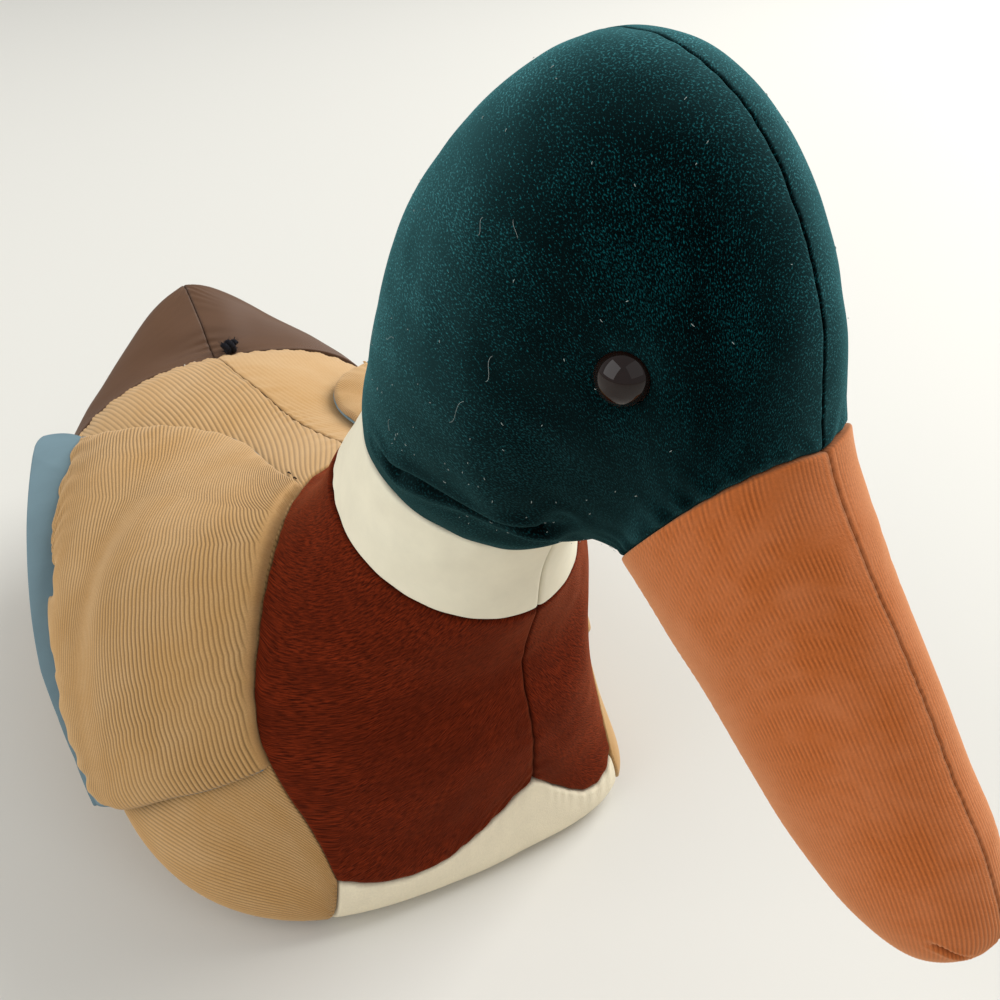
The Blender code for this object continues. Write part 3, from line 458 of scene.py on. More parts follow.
class Patch:
    """A piece of cloth: a grid of places on a surface, with the distances along the cloth.
    Its first and last rows are its first two edges, and its first and last columns the others."""

    def __init__(self, surface, station, angle, height=0.0):
        self.station, self.angle = station, angle
        self.normal = outward(surface, station, angle)
        self.base = surface(station, angle) + self.normal * np.broadcast_to(height, angle.shape)[..., None]
        self.across = arc_lengths(self.base)
        self.along = arc_lengths(self.base.transpose(1, 0, 2)).T
        self.rise = np.zeros(angle.shape)
        self.shade = np.zeros(angle.shape)
        self.wale = np.zeros(angle.shape)

    def distance(self, edge):
        if edge < 2:
            return self.along if edge == 0 else self.along[-1:] - self.along
        return self.across if edge == 2 else self.across[:, -1:] - self.across

    def roll(self, radius, edges, depth, dark):
        """Turns the edges down on a quarter round, and paints shade on them where they meet the next piece.
        """
        for edge in edges:
            t = 1 - np.clip(self.distance(edge) / radius, 0, 1)
            self.rise -= depth * radius * (1 - np.sqrt(np.maximum(1 - t**2, 0)))
            self.shade = np.maximum(self.shade, dark * t**3)

    def stitched(self, edge, spacing, dark):
        """A row of stitches pulled tight beside a seam: short dents, drawn only as painted shade."""
        place = self.across if edge < 2 else self.along
        dent = 0.5 + 0.5 * np.cos(2 * HALF_TURN * place / spacing)
        close = np.exp(-((self.distance(edge) / (0.7 * MM)) ** 2))
        self.shade = np.maximum(self.shade, dark * close * (0.45 + 0.55 * dent))

    def pucker(self, edge, height, spacing, reach, seed):
        """Small gathers that run in from a seam."""
        place = self.across if edge < 2 else self.along
        phase = place / spacing + 0.7 * line_noise(place, 2.5 * spacing, seed)
        strength = 0.55 + 0.45 * line_noise(place, 4 * spacing, seed + 1)
        ripple = 0.5 + 0.5 * np.cos(2 * HALF_TURN * phase)
        self.rise -= height * strength * ripple * np.exp(-((self.distance(edge) / reach) ** 1.3))

    def cords(self, distances, kept, strength, seed, spread=1.0):
        """Cords along the columns; strength is how far the pile still stands, and it is less in places."""
        worn = smooth(0.5 + 0.8 * noise(self.base, 30 * MM, seed))
        strength = strength * (1 - 0.2 * worn)
        ridge = 0.5 + 0.5 * np.cos(2 * HALF_TURN * distances / (spread * kept.wale_pitch))
        self.wale = 1 - strength * (1 - ridge)
        self.rise += kept.wale_height * strength * (ridge ** 0.7 - 1)

    def lumps(self, height, size, seed):
        self.rise += height * noise(self.base, size, seed)

    def sewn(self, piece):
        """Turned edges, stitches, gathers and lumps, as the tables give them for the piece."""
        for table, work in (
            (SEAM_ROLLS, self.roll), (STITCH_ROWS, self.stitched),
            (GATHERS, self.pucker), (LUMPS, self.lumps),
        ):
            for row in table.get(piece, ()):
                work(*row)

    def groove(self, line, width, depth, lip=0.0):
        """A crease along a line of places, with a raised lip beside it and painted shade along it."""
        line = np.asarray(line, float)
        nearest = np.full(self.rise.shape, np.inf)
        side = np.zeros(self.rise.shape)
        for a, b in zip(line[:-1], line[1:]):
            way = b - a
            share = np.clip(((self.base - a) @ way) / (way @ way), 0, 1)
            offset = self.base - (a + share[..., None] * way)
            distance = np.linalg.norm(offset, axis=-1)
            closer = distance < nearest
            side = np.where(closer, np.sign(np.cross(way, offset) @ [0, 0, 1.0]), side)
            nearest = np.minimum(nearest, distance)
        ends = np.minimum(
            np.linalg.norm(self.base - line[0], axis=-1), np.linalg.norm(self.base - line[-1], axis=-1)
        )
        fade = smooth(ends / (5 * width))
        self.rise -= fade * depth * np.exp(-((nearest / width) ** 2))
        self.rise += lip * fade * np.exp(-(((nearest - 2.2 * width) / (1.4 * width)) ** 2))
        self.shade = np.maximum(self.shade, 0.5 * fade * np.exp(-((nearest / (0.7 * width)) ** 2)))

    def reach_out(self, ways, lengths, count):
        """More columns past the last one, each row running on its own way."""
        steps = lengths[:, None] * np.linspace(0, 1, count + 1)[1:]
        more = self.base[:, -1:] + ways[:, None] * steps[..., None]
        for name in ("station", "angle", "rise", "shade", "wale"):
            setattr(self, name, np.pad(getattr(self, name), ((0, 0), (0, count)), mode="edge"))
        self.base = np.concatenate([self.base, more], 1)
        faces = np.cross(ways, np.gradient(self.base[:, -1], axis=0))
        faces /= np.linalg.norm(faces, axis=-1, keepdims=True)
        faces *= np.sign(np.sum(faces * self.normal[:, -1], -1, keepdims=True))
        self.normal = np.concatenate([self.normal, np.repeat(faces[:, None], count, 1)], 1)
        self.across = arc_lengths(self.base)
        self.along = arc_lengths(self.base.transpose(1, 0, 2)).T

    def points(self):
        return self.base + self.normal * self.rise[..., None]

    def tucked(self, depth):
        """The patch with one more row and column all round that turns in under its neighbours."""
        for name in ("station", "angle", "across", "along", "rise", "shade", "wale"):
            setattr(self, name, np.pad(getattr(self, name), 1, mode="edge"))
        for name in ("base", "normal"):
            setattr(self, name, np.pad(getattr(self, name), ((1, 1), (1, 1), (0, 0)), mode="edge"))
        rim = np.ones(self.rise.shape, bool)
        rim[1:-1, 1:-1] = False
        self.rise[rim] -= depth
        return self


def crowded(count, share):
    """Shares from 0 to 1 that crowd at both ends, where the cloth turns into a seam."""
    ends = np.array([0, 0.03, 0.12, 0.28, 0.5, 0.75]) * share
    return np.concatenate([ends, np.linspace(share, 1 - share, count), 1 - ends[::-1]])


def blank_mesh(name, points, faces):
    mesh = bpy.data.meshes.new(name)
    points = np.asarray(points, np.float32)
    faces = np.asarray(faces, np.int32)
    mesh.vertices.add(len(points))
    mesh.vertices.foreach_set("co", points.ravel())
    mesh.loops.add(faces.size)
    mesh.loops.foreach_set("vertex_index", faces.ravel())
    mesh.polygons.add(len(faces))
    mesh.polygons.foreach_set("loop_start", np.arange(0, faces.size, faces.shape[1]))
    mesh.polygons.foreach_set("loop_total", np.full(len(faces), faces.shape[1]))
    mesh.update(calc_edges=True)
    mesh.polygons.foreach_set("use_smooth", np.full(len(faces), True))
    mesh.validate()
    return mesh


def grid_faces(rows, columns, offset=0):
    number = np.arange(rows * columns).reshape(rows, columns) + offset
    return np.stack(
        [number[:-1, :-1], number[:-1, 1:], number[1:, 1:], number[1:, :-1]], -1
    ).reshape(-1, 4)


def facing_out(points, faces, normals):
    """Turns all the faces over where they look inwards."""
    sample = faces[:: max(1, len(faces) // 500)]
    a, b, d = points[sample[:, 0]], points[sample[:, 1]], points[sample[:, 3]]
    looks = np.sum(np.cross(b - a, d - a) * normals[sample[:, 0]])
    return faces if looks > 0 else faces[:, ::-1]


def write_layers(mesh, places, **values):
    """Gives the mesh its UV map and its float attributes, all by vertex."""
    corners = np.empty(len(mesh.loops), np.int32)
    mesh.loops.foreach_get("vertex_index", corners)
    cloth = mesh.uv_layers.new(name="cloth")
    cloth.data.foreach_set("uv", places[corners].astype(np.float32).ravel())
    for name, numbers in values.items():
        layer = mesh.attributes.new(name, "FLOAT", "POINT")
        layer.data.foreach_set("value", numbers.astype(np.float32))


def without_collapsed(mesh):
    """Joins the points that fell together, and drops the faces that are left without an area."""
    shaped = bmesh.new()
    shaped.from_mesh(mesh)
    bmesh.ops.remove_doubles(shaped, verts=shaped.verts, dist=1e-6)
    bmesh.ops.dissolve_degenerate(shaped, edges=shaped.edges, dist=1e-7)
    loose = [v for v in shaped.verts if not v.link_faces]
    bmesh.ops.delete(shaped, geom=loose, context="VERTS")
    shaped.to_mesh(mesh)
    shaped.free()


def lay_cloth(name, patch, finish, body="duck", replaces=(), back=None):
    """Makes the patch an object. back is a thickness, and gives it an underside and edges."""
    rows, columns = patch.rise.shape
    top = patch.points()
    points = top.reshape(-1, 3)
    number = grid_faces(rows, columns)
    faces = facing_out(points, number, patch.normal.reshape(-1, 3))
    places = np.stack([patch.across, patch.along], -1).reshape(-1, 2)
    shade, wale = patch.shade.ravel(), patch.wale.ravel()
    if back is not None:
        under = (top - patch.normal * back).reshape(-1, 3)
        order = np.arange(rows * columns).reshape(rows, columns)
        rim = np.concatenate([order[0, :-1], order[:-1, -1], order[-1, :0:-1], order[:0:-1, 0]])
        after = np.roll(rim, -1)
        size = rows * columns
        walls = np.stack([after, rim, rim + size, after + size], -1)
        if (faces[0] != number[0]).any():
            walls = walls[:, ::-1]
        faces = np.concatenate([faces, faces[:, ::-1] + size, walls])
        points = np.concatenate([points, under])
        places = np.concatenate([places, places])
        shade, wale = np.tile(shade, 2), np.tile(wale, 2)
    mesh = blank_mesh(name, points, faces)
    write_layers(mesh, places, shade=shade, wale=wale)
    without_collapsed(mesh)
    mesh.materials.append(finish_of(finish))
    return placed(name, mesh, body, replaces, finish)


def placed(name, mesh, body, replaces=(), slot=None):
    obj = bpy.data.objects.new(name, mesh)
    bpy.context.scene.collection.objects.link(obj)
    if body:
        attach(obj, body)
    if replaces:
        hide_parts(*replaces)
    return obj


def tube(line, radius, sides):
    """Points and faces of a closed tube along a line."""
    way = np.gradient(line, axis=0)
    way /= np.linalg.norm(way, axis=1, keepdims=True)
    side = np.cross(way[0], [0.0, 0.0, 1.0])
    if np.linalg.norm(side) < 0.1:
        side = np.cross(way[0], [1.0, 0.0, 0.0])
    rings = []
    for at, forward in zip(line, way):
        side = side - forward * (side @ forward)
        side /= np.linalg.norm(side)
        up = np.cross(forward, side)
        turns = np.arange(sides) * 2 * HALF_TURN / sides
        rings.append(at + radius * (np.cos(turns)[:, None] * side + np.sin(turns)[:, None] * up))
    points = np.concatenate([*rings, line[:1], line[-1:]])
    number = np.arange(len(line) * sides).reshape(len(line), sides)
    after = np.roll(number, -1, axis=1)
    walls = np.stack([number[:-1], after[:-1], after[1:], number[1:]], -1).reshape(-1, 4)
    first, last = len(points) - 2, len(points) - 1
    near = np.stack([after[0], number[0], np.full(sides, first), np.full(sides, first)], -1)
    far = np.stack([number[-1], after[-1], np.full(sides, last), np.full(sides, last)], -1)
    return points, np.concatenate([walls, near, far])


def tubes_mesh(name, lines, radius, sides):
    """One mesh with a tube along each line."""
    made = bpy.data.meshes.new(name)
    points, faces, offset = [], [], 0
    for line in lines:
        these, around = tube(line, radius, sides)
        points += [tuple(p) for p in these]
        faces += [tuple(dict.fromkeys(int(k) + offset for k in face)) for face in around]
        offset += len(these)
    made.from_pydata(points, [], faces)
    made.polygons.foreach_set("use_smooth", [True] * len(made.polygons))
    made.update()
    return made


# Materials


def linear(colour):
    """An sRGB hex colour as linear channels."""
    channels = [int(colour[i:i + 2], 16) / 255 for i in (0, 2, 4)]
    return tuple(c / 12.92 if c <= 0.04045 else ((c + 0.055) / 1.055) ** 2.4 for c in channels)


def toned(colour, share, towards=(0, 0, 0)):
    """The colour, with some of another in it; a share over 1 makes it lighter."""
    return (*[c * share + t * (1 - share) for c, t in zip(colour[:3], towards)], 1)


def add_node(tree, kind, inputs=None, **settings):
    """Adds a node; an input is a value or another node's output."""
    made = tree.nodes.new(kind)
    for key, value in settings.items():
        setattr(made, key, value)
    for key, value in (inputs or {}).items():
        if isinstance(value, bpy.types.NodeSocket):
            tree.links.new(value, made.inputs[key])
        else:
            made.inputs[key].default_value = value
    return made


def blank_material(name):
    """A material with an empty Principled shader on its output."""
    made = bpy.data.materials.new(name)
    made.use_nodes = True
    tree = made.node_tree
    tree.nodes.clear()
    shader = add_node(tree, "ShaderNodeBsdfPrincipled")
    add_node(tree, "ShaderNodeOutputMaterial", {"Surface": shader.outputs[0]})
    return made, tree, shader


def mixed(tree, factor, first, second):
    return add_node(tree, "ShaderNodeMix", {0: factor, 6: first, 7: second}, data_type="RGBA").outputs[2]


def blotches(tree, place, size, low, high, most=1.0, detail=4):
    """Soft patches of about that size, from 0 to most."""
    patch = add_node(tree, "ShaderNodeTexNoise", {
        "Vector": place, "Scale": 1 / size, "Detail": detail, "Roughness": 0.6,
    })
    return add_node(tree, "ShaderNodeMapRange", {0: patch.outputs[0], 1: low, 2: high, 4: most}).outputs[0]


def bumped(tree, shader, height, depth, strength=0.6):
    bump = add_node(tree, "ShaderNodeBump", {"Height": height, "Distance": depth, "Strength": strength})
    tree.links.new(bump.outputs[0], shader.inputs["Normal"])


def painted_sheen_share(tree, most, power):
    """How far the cloth turns away from the eye, as the share of painted sheen, where pile shows its lit
    tips and not its shaded ground.
    """
    facing = add_node(tree, "ShaderNodeLayerWeight", {0: 0.5}).outputs[1]
    bent = add_node(tree, "ShaderNodeMath", {0: facing, 1: power}, operation="POWER").outputs[0]
    return add_node(tree, "ShaderNodeMath", {0: bent, 1: most}, operation="MULTIPLY").outputs[0]


def finish_cloth(tree, shader, colour, roughness, sheen, sheen_colour):
    """Paints shade into the cloth by the attribute that the piece carries, in its seams, stitch dents and
    creases, on the head's underside and along the wing's front edge, and sets its lustre.
    """
    seam = add_node(tree, "ShaderNodeAttribute", attribute_name="shade")
    painted_shade_colour = mixed(tree, seam.outputs[2], colour, (0, 0, 0, 1))
    tree.links.new(painted_shade_colour, shader.inputs["Base Color"])
    shader.inputs["Roughness"].default_value = roughness
    shader.inputs["Specular IOR Level"].default_value = 0.12
    shader.inputs["Sheen Weight"].default_value = sheen
    shader.inputs["Sheen Roughness"].default_value = 0.4
    shader.inputs["Sheen Tint"].default_value = sheen_colour


def velvet():
    """Cut pile: near black from straight on, with a painted sheen that makes it pale where it turns away,
    and lit tips all over.
    """
    colour = tuple(bpy.context.scene.duck.velvet_colour)
    made, tree, shader = blank_material("cotton velvet, teal")
    cloth = add_node(tree, "ShaderNodeUVMap", uv_map="cloth").outputs[0]
    tips = blotches(tree, cloth, 0.6 * MM, 0.50, 0.66, detail=3)
    sparks = blotches(tree, cloth, 0.6 * MM, 0.62, 0.70, detail=2)
    crushed = blotches(tree, cloth, 24 * MM, 0.40, 0.70, most=0.55)
    tips = add_node(tree, "ShaderNodeMath", {0: tips, 1: crushed}, operation="SUBTRACT", use_clamp=True)
    tips = tips.outputs[0]
    ground = mixed(tree, tips, toned(colour, 0.02), toned(colour, 0.75))
    ground = mixed(tree, sparks, ground, toned(colour, 1.0, (0.35, 0.6, 0.56)))
    # Painted sheen: the colour turns to the lit pile's where the cloth turns away from the eye.
    painted_sheen_amount = painted_sheen_share(tree, 0.95, 1.5)
    lit = toned(colour, 0.3, (0.10, 0.30, 0.32))
    lit = mixed(tree, tips, toned(lit, 0.55), toned(lit, 1.9))
    ground = mixed(tree, painted_sheen_amount, ground, lit)
    bumped(tree, shader, tips, 0.22 * MM)
    finish_cloth(tree, shader, ground, 0.95, 0.08, toned(colour, 0.4, (0.2, 0.7, 0.66)))
    shader.inputs["Specular IOR Level"].default_value = 0.02
    return made


def velour():
    """Knitted pile with fine ribs along the bill."""
    colour = tuple(bpy.context.scene.duck.velour_colour)
    made, tree, shader = blank_material("ribbed velour, orange")
    cloth = add_node(tree, "ShaderNodeUVMap", uv_map="cloth").outputs[0]
    fleck = blotches(tree, cloth, 0.7 * MM, 0.34, 0.68, detail=3)
    worn = blotches(tree, cloth, 16 * MM, 0.4, 0.68)
    rib = add_node(tree, "ShaderNodeAttribute", attribute_name="wale").outputs[2]
    # Painted light on the ribs' tops and painted shade in the hollows between them.
    ground = mixed(tree, rib, toned(colour, 0.55), toned(colour, 1.18))
    grain = add_node(tree, "ShaderNodeMath", {0: fleck, 1: 0.3}, operation="MULTIPLY")
    ground = mixed(tree, grain.outputs[0], ground, toned(colour, 0.55))
    patch = add_node(tree, "ShaderNodeMath", {0: worn, 1: 0.3}, operation="MULTIPLY")
    ground = mixed(tree, patch.outputs[0], ground, toned(colour, 0.75, (0.9, 0.5, 0.3)))
    # Painted sheen: lighter and warmer where the velour turns away from the eye.
    ground = mixed(tree, painted_sheen_share(tree, 0.7, 2), ground, toned(colour, 0.4, (0.95, 0.55, 0.3)))
    bumped(tree, shader, fleck, 0.15 * MM)
    finish_cloth(tree, shader, ground, 0.93, 0.25, toned(colour, 0.6, (1, 0.75, 0.55)))
    return made


def mohair():
    """Short pile that all lies one way, in streaks of lighter and darker rust."""
    colour = tuple(bpy.context.scene.duck.mohair_colour)
    made, tree, shader = blank_material("short mohair, rust")
    cloth = add_node(tree, "ShaderNodeUVMap", uv_map="cloth").outputs[0]
    leaning = add_node(tree, "ShaderNodeMapping", {0: cloth, 2: (0, 0, 0.7), 3: (1, 0.22, 1)}).outputs[0]
    streak = blotches(tree, leaning, 0.55 * MM, 0.34, 0.68, detail=3)
    crushed = blotches(tree, cloth, 24 * MM, 0.40, 0.66)
    ground = mixed(tree, streak, toned(colour, 0.16), toned(colour, 0.95))
    patch = add_node(tree, "ShaderNodeMath", {0: crushed, 1: 0.5}, operation="MULTIPLY")
    ground = mixed(tree, patch.outputs[0], ground, toned(colour, 0.30))
    # Painted sheen: lighter and redder where the mohair turns away from the eye.
    ground = mixed(tree, painted_sheen_share(tree, 0.6, 2.5), ground, toned(colour, 0.7, (0.66, 0.22, 0.08)))
    bumped(tree, shader, streak, 0.35 * MM)
    finish_cloth(tree, shader, ground, 0.95, 0.07, toned(colour, 0.6, (0.8, 0.3, 0.15)))
    shader.inputs["Specular IOR Level"].default_value = 0.08
    return made


def corduroy():
    """Cut-pile cords: the ridges catch the light, and the ground between them lies in their shade."""
    colour = tuple(bpy.context.scene.duck.corduroy_colour)
    made, tree, shader = blank_material("needlecord, tan")
    cloth = add_node(tree, "ShaderNodeUVMap", uv_map="cloth").outputs[0]
    wale = add_node(tree, "ShaderNodeAttribute", attribute_name="wale").outputs[2]
    raised = add_node(tree, "ShaderNodeMapRange", {0: wale, 1: 0.0, 2: 0.7}).outputs[0]
    fleck = blotches(tree, cloth, 0.5 * MM, 0.32, 0.68, most=0.35, detail=2)
    worn = blotches(tree, cloth, 28 * MM, 0.38, 0.66, most=0.55)
    top = mixed(tree, worn, toned(colour, 1.0), toned(colour, 0.75, (0.85, 0.68, 0.45)))
    top = mixed(tree, fleck, top, toned(colour, 0.6))
    # Painted light on the cords' tops and painted shade on the ground between them.
    ground = mixed(tree, raised, toned(colour, 0.30), top)
    # Painted sheen: paler where the corduroy turns away from the eye.
    ground = mixed(tree, painted_sheen_share(tree, 0.5, 2), ground, toned(colour, 0.5, (0.72, 0.62, 0.46)))
    bumped(tree, shader, fleck, 0.12 * MM)
    finish_cloth(tree, shader, ground, 0.95, 0.2, toned(colour, 0.5, (1, 0.9, 0.75)))
    return made


def woven(name, colour, thread, roughness, sheen=0.08, twill=False, unevenness=0.3):
    """Smooth cloth: fine threads over and under, and a little uneven colour."""
    made, tree, shader = blank_material(name)
    cloth = add_node(tree, "ShaderNodeUVMap", uv_map="cloth").outputs[0]
    apart = add_node(tree, "ShaderNodeSeparateXYZ", {0: cloth})
    turns = 2 * HALF_TURN / thread
    weft = add_node(tree, "ShaderNodeMath", {0: apart.outputs[0], 1: turns}, operation="MULTIPLY")
    warp = add_node(tree, "ShaderNodeMath", {0: apart.outputs[1], 1: turns}, operation="MULTIPLY")
    if twill:
        slant = add_node(tree, "ShaderNodeMath", {0: weft.outputs[0], 1: warp.outputs[0]}, operation="ADD")
        threads = add_node(tree, "ShaderNodeMath", {0: slant.outputs[0]}, operation="SINE")
    else:
        over = add_node(tree, "ShaderNodeMath", {0: weft.outputs[0]}, operation="SINE")
        under = add_node(tree, "ShaderNodeMath", {0: warp.outputs[0]}, operation="SINE")
        threads = add_node(
            tree, "ShaderNodeMath", {0: over.outputs[0], 1: under.outputs[0]}, operation="MULTIPLY"
        )
    height = add_node(tree, "ShaderNodeMapRange", {0: threads.outputs[0], 1: -1, 2: 1}).outputs[0]
    uneven = blotches(tree, cloth, 14 * MM, 0.35, 0.7, most=unevenness, detail=6)
    ground = mixed(tree, uneven, toned(colour, 1.0), toned(colour, 0.72))
    bumped(tree, shader, height, 0.05 * MM, 0.5)
    finish_cloth(tree, shader, ground, roughness, sheen, toned(colour, 0.5, (1, 1, 1)))
    shader.inputs["Specular IOR Level"].default_value = 0.3
    return made


def felt():
    """Pressed fibres with no grain: soft blotches and a fuzzy face."""
    colour = tuple(bpy.context.scene.duck.felt_colour)
    made, tree, shader = blank_material("pressed felt, cream")
    cloth = add_node(tree, "ShaderNodeUVMap", uv_map="cloth").outputs[0]
    fuzz = blotches(tree, cloth, 0.8 * MM, 0.35, 0.7, most=0.4)
    cloud = blotches(tree, cloth, 9 * MM, 0.35, 0.7, most=0.5)
    ground = mixed(tree, cloud, toned(colour, 1.0), toned(colour, 0.86))
    ground = mixed(tree, fuzz, ground, toned(colour, 0.8))
    bumped(tree, shader, fuzz, 0.35 * MM)
    finish_cloth(tree, shader, ground, 0.97, 0.2, toned(colour, 0.5, (1, 1, 1)))
    return made


def moulded(name, colour, roughness, coat, specular=0.5):
    """Moulded or dyed stuff of one colour, with a faint unevenness in it."""
    made, tree, shader = blank_material(name)
    spot = add_node(tree, "ShaderNodeTexCoord").outputs[3]
    uneven = blotches(tree, spot, 2.5 * MM, 0.3, 0.7, most=0.5, detail=2)
    tree.links.new(mixed(tree, uneven, toned(colour, 1.0), toned(colour, 0.6)), shader.inputs["Base Color"])
    shader.inputs["Roughness"].default_value = roughness
    shader.inputs["Specular IOR Level"].default_value = specular
    shader.inputs["Coat Weight"].default_value = coat
    shader.inputs["Coat Roughness"].default_value = 0.03
    return made


def finish_of(name):
    """The finishes, each made the first time that a piece asks for it."""
    kept = bpy.context.scene.duck
    makers = {
        "teal_velvet": velvet,
        "orange_velour": velour,
        "rust_mohair": mohair,
        "tan_corduroy": corduroy,
        "cream_felt": felt,
        "cream_cotton": lambda: woven("plain cotton, cream", tuple(kept.collar_colour), 0.45 * MM, 0.8),
        "brown_cotton": lambda: woven(
            "polished cotton, brown", tuple(kept.tail_colour), 0.5 * MM, 0.5, 0.15, twill=True),
        "blue_cotton": lambda: woven(
            "plain cotton, slate blue", tuple(kept.lining_colour), 0.45 * MM, 0.8),
        "eye_plastic": lambda: moulded("moulded acrylic, dark brown", linear("1A0A05"), 0.04, 0.1, 0.3),
        "black_yarn": lambda: moulded("twisted yarn, black", linear("1B1B21"), 0.9, 0.0, 0.2),
        "brown_thread": lambda: moulded("sewing thread, dark brown", linear("3A2A1C"), 0.7, 0.0, 0.3),
        "pale_thread": lambda: moulded("sewing thread, white", linear("D8D3C6"), 0.7, 0.0, 0.3),
        "lint": lambda: moulded("loose lint, white", linear("A9B3AE"), 0.9, 0.0, 0.2),
    }
    for made in bpy.data.materials:
        if made.get("finish") == name:
            return made
    made = makers[name]()
    made["finish"] = name
    return made


# Seams, the same as the frame's


def chest_seam(count):
    """Stations and angles along the chest seam from the back seam down to the belly's corner."""
    table = np.asarray(CHEST_SEAM_SHARES, float)
    fine = spline(table, np.linspace(0, len(table) - 1, SEAM_SAMPLES_PER_ROW * len(table)))
    run = arc_lengths(body_surface(fine[:, 0], np.radians(fine[:, 1]))[None])[0]
    even = np.linspace(0, run[-1], count)
    return np.interp(even, run, fine[:, 0]), np.radians(np.interp(even, run, fine[:, 1]))


def chest_hem(count):
    share = np.linspace(0, 1, count)
    return between(CHEST_HEM_SHARES, share)[0], math.radians(CHEST_SEAM_SHARES[-1][1]) * (1 - share)


def chest_grid(rows, columns):
    seam_station, seam_angle = chest_seam(columns)
    hem_station, hem_angle = chest_hem(columns // 3)
    outer_station = np.concatenate([seam_station, hem_station[1:]])
    outer_angle = np.concatenate([seam_angle, hem_angle[1:]])
    neck_angle = np.linspace(HALF_TURN, 0, len(outer_angle))
    share = crowded(rows, 0.02)[:, None]
    return outer_station * share, neck_angle * (1 - share) + outer_angle * share


def back_grid(shares, columns):
    seam_station, seam_angle = chest_seam(columns)
    rear_angle = np.linspace(HALF_TURN, math.radians(BELLY_REAR_DEGREES), columns)
    share = np.asarray(shares)[:, None]
    return (
        seam_station * (1 - share) + TAIL_STATION * share,
        seam_angle * (1 - share) + rear_angle * share,
    )


def belly_grid(rows, columns):
    hem_station, hem_angle = chest_hem(columns)
    station = np.concatenate([hem_station, hem_station[-2::-1]])
    angle = np.concatenate([hem_angle, -hem_angle[-2::-1]])
    rear_angle = angle * math.radians(BELLY_REAR_DEGREES) / hem_angle[0]
    share = crowded(rows, 0.02)[:, None]
    return station * (1 - share) + TAIL_STATION * share, angle * (1 - share) + rear_angle * share


def head_grid(rows, columns):
    share, angle = np.meshgrid(crowded(rows, 0.02), HALF_TURN * crowded(columns, 0.02), indexing="ij")
    return share * (BILL_STATION - BILL_SEAM_SAG_SHARE * np.sin(angle)), angle


def bill_grid(rows, columns):
    share, angle = np.meshgrid(crowded(rows, 0.02), HALF_TURN * crowded(columns, 0.03), indexing="ij")
    root = BILL_STATION - BILL_SEAM_SAG_SHARE * np.sin(angle)
    return root * (1 - share) + BILL_TIP_STATION * share, angle


def wing_place(back, up):
    """Stations and angles of the wing, from its sewn front edge to its free rear edge."""
    front_angle = WING_FRONT_DEGREES[0] + (WING_FRONT_DEGREES[1] - WING_FRONT_DEGREES[0]) * up
    falling = np.asarray(CHEST_SEAM_SHARES, float)[::-1]
    front_station = np.interp(front_angle, falling[:, 1], falling[:, 0])
    rear_station, rear_angle = between(WING_REAR_SHARES, up)
    station = front_station * (1 - back) + rear_station * back
    angle = front_angle * (1 - back) + rear_angle * back
    bow = WING_BOW_DEGREES * up**2 + WING_LOW_BOW_DEGREES * (1 - up) ** 2
    skew = WING_SKEW_DEGREES * (1 - up) ** 2
    back = np.clip(back, 0, 1) * HALF_TURN
    return station, np.radians(angle + bow * np.sin(back) - skew * np.sin(2 * back))


def wing_heights(back, up):
    """How far the lining's top stands off the body, and the padding off the lining."""
    inside = np.clip(16 * back * (1 - back) * up * (1 - up), 0, 1)
    return WING_CLEARANCE + LINING_THICKNESS + WING_STAND_OFF * back**2, WING_PUFF * np.sqrt(inside)


# The pieces


def build_head():
    """Two velvet sides with a seam over the crown, creased under the cheek."""
    for side, sign in SIDES:
        station, angle = head_grid(210, 170)
        patch = Patch(head_surface, station, sign * angle)
        patch.sewn("head")
        centre = head_surface(np.array([EYE_SHARE[0]]), np.array([sign * math.radians(EYE_SHARE[1])]))[0]
        away = np.linalg.norm(patch.base - centre, axis=-1)
        patch.rise -= 1.6 * MM * np.exp(-((away / (7 * MM)) ** 2))
        crease = head_surface(
            np.array([row[0] for row in CHEEK_CREASE_SHARES]),
            sign * np.radians([row[1] for row in CHEEK_CREASE_SHARES]),
        )
        patch.groove(crease, 2.0 * MM, 3.0 * MM, 1.0 * MM)
        # Painted shade on the head's underside: darker where the surface faces down, away from the light
        # from above.
        under = smooth((0.45 - patch.normal[..., 2]) / 0.8)
        patch.shade = np.maximum(patch.shade, 0.72 * under)
        obj = lay_cloth(
            f"head_velvet_{side}", patch.tucked(2.5 * MM), "teal_velvet",
            replaces=(f"head_panel_{side}", *(("head_stuffing",) if sign > 0 else ())),
        )


def build_bill():
    """Two velour sides, ribbed lengthways, with a seam along the ridge and round the tip."""
    pitch = bpy.context.scene.duck.rib_pitch
    for side, sign in SIDES:
        station, angle = bill_grid(130, 150)
        patch = Patch(head_surface, station, sign * angle)
        patch.sewn("bill")
        ribs = 0.5 + 0.5 * np.cos(2 * HALF_TURN * patch.distance(3) / pitch)
        patch.wale = ribs
        patch.rise += 0.26 * MM * ribs
        if sign > 0:
            station, degrees = np.array(BILL_CREASE_SHARES).T
            patch.groove(head_surface(station, np.radians(degrees)), 0.5 * MM, 1.4 * MM, 0.3 * MM)
        obj = lay_cloth(
            f"bill_velour_{side}", patch.tucked(2 * MM), "orange_velour",
            replaces=(f"bill_panel_{side}", *(("bill_stuffing",) if sign > 0 else ())),
        )


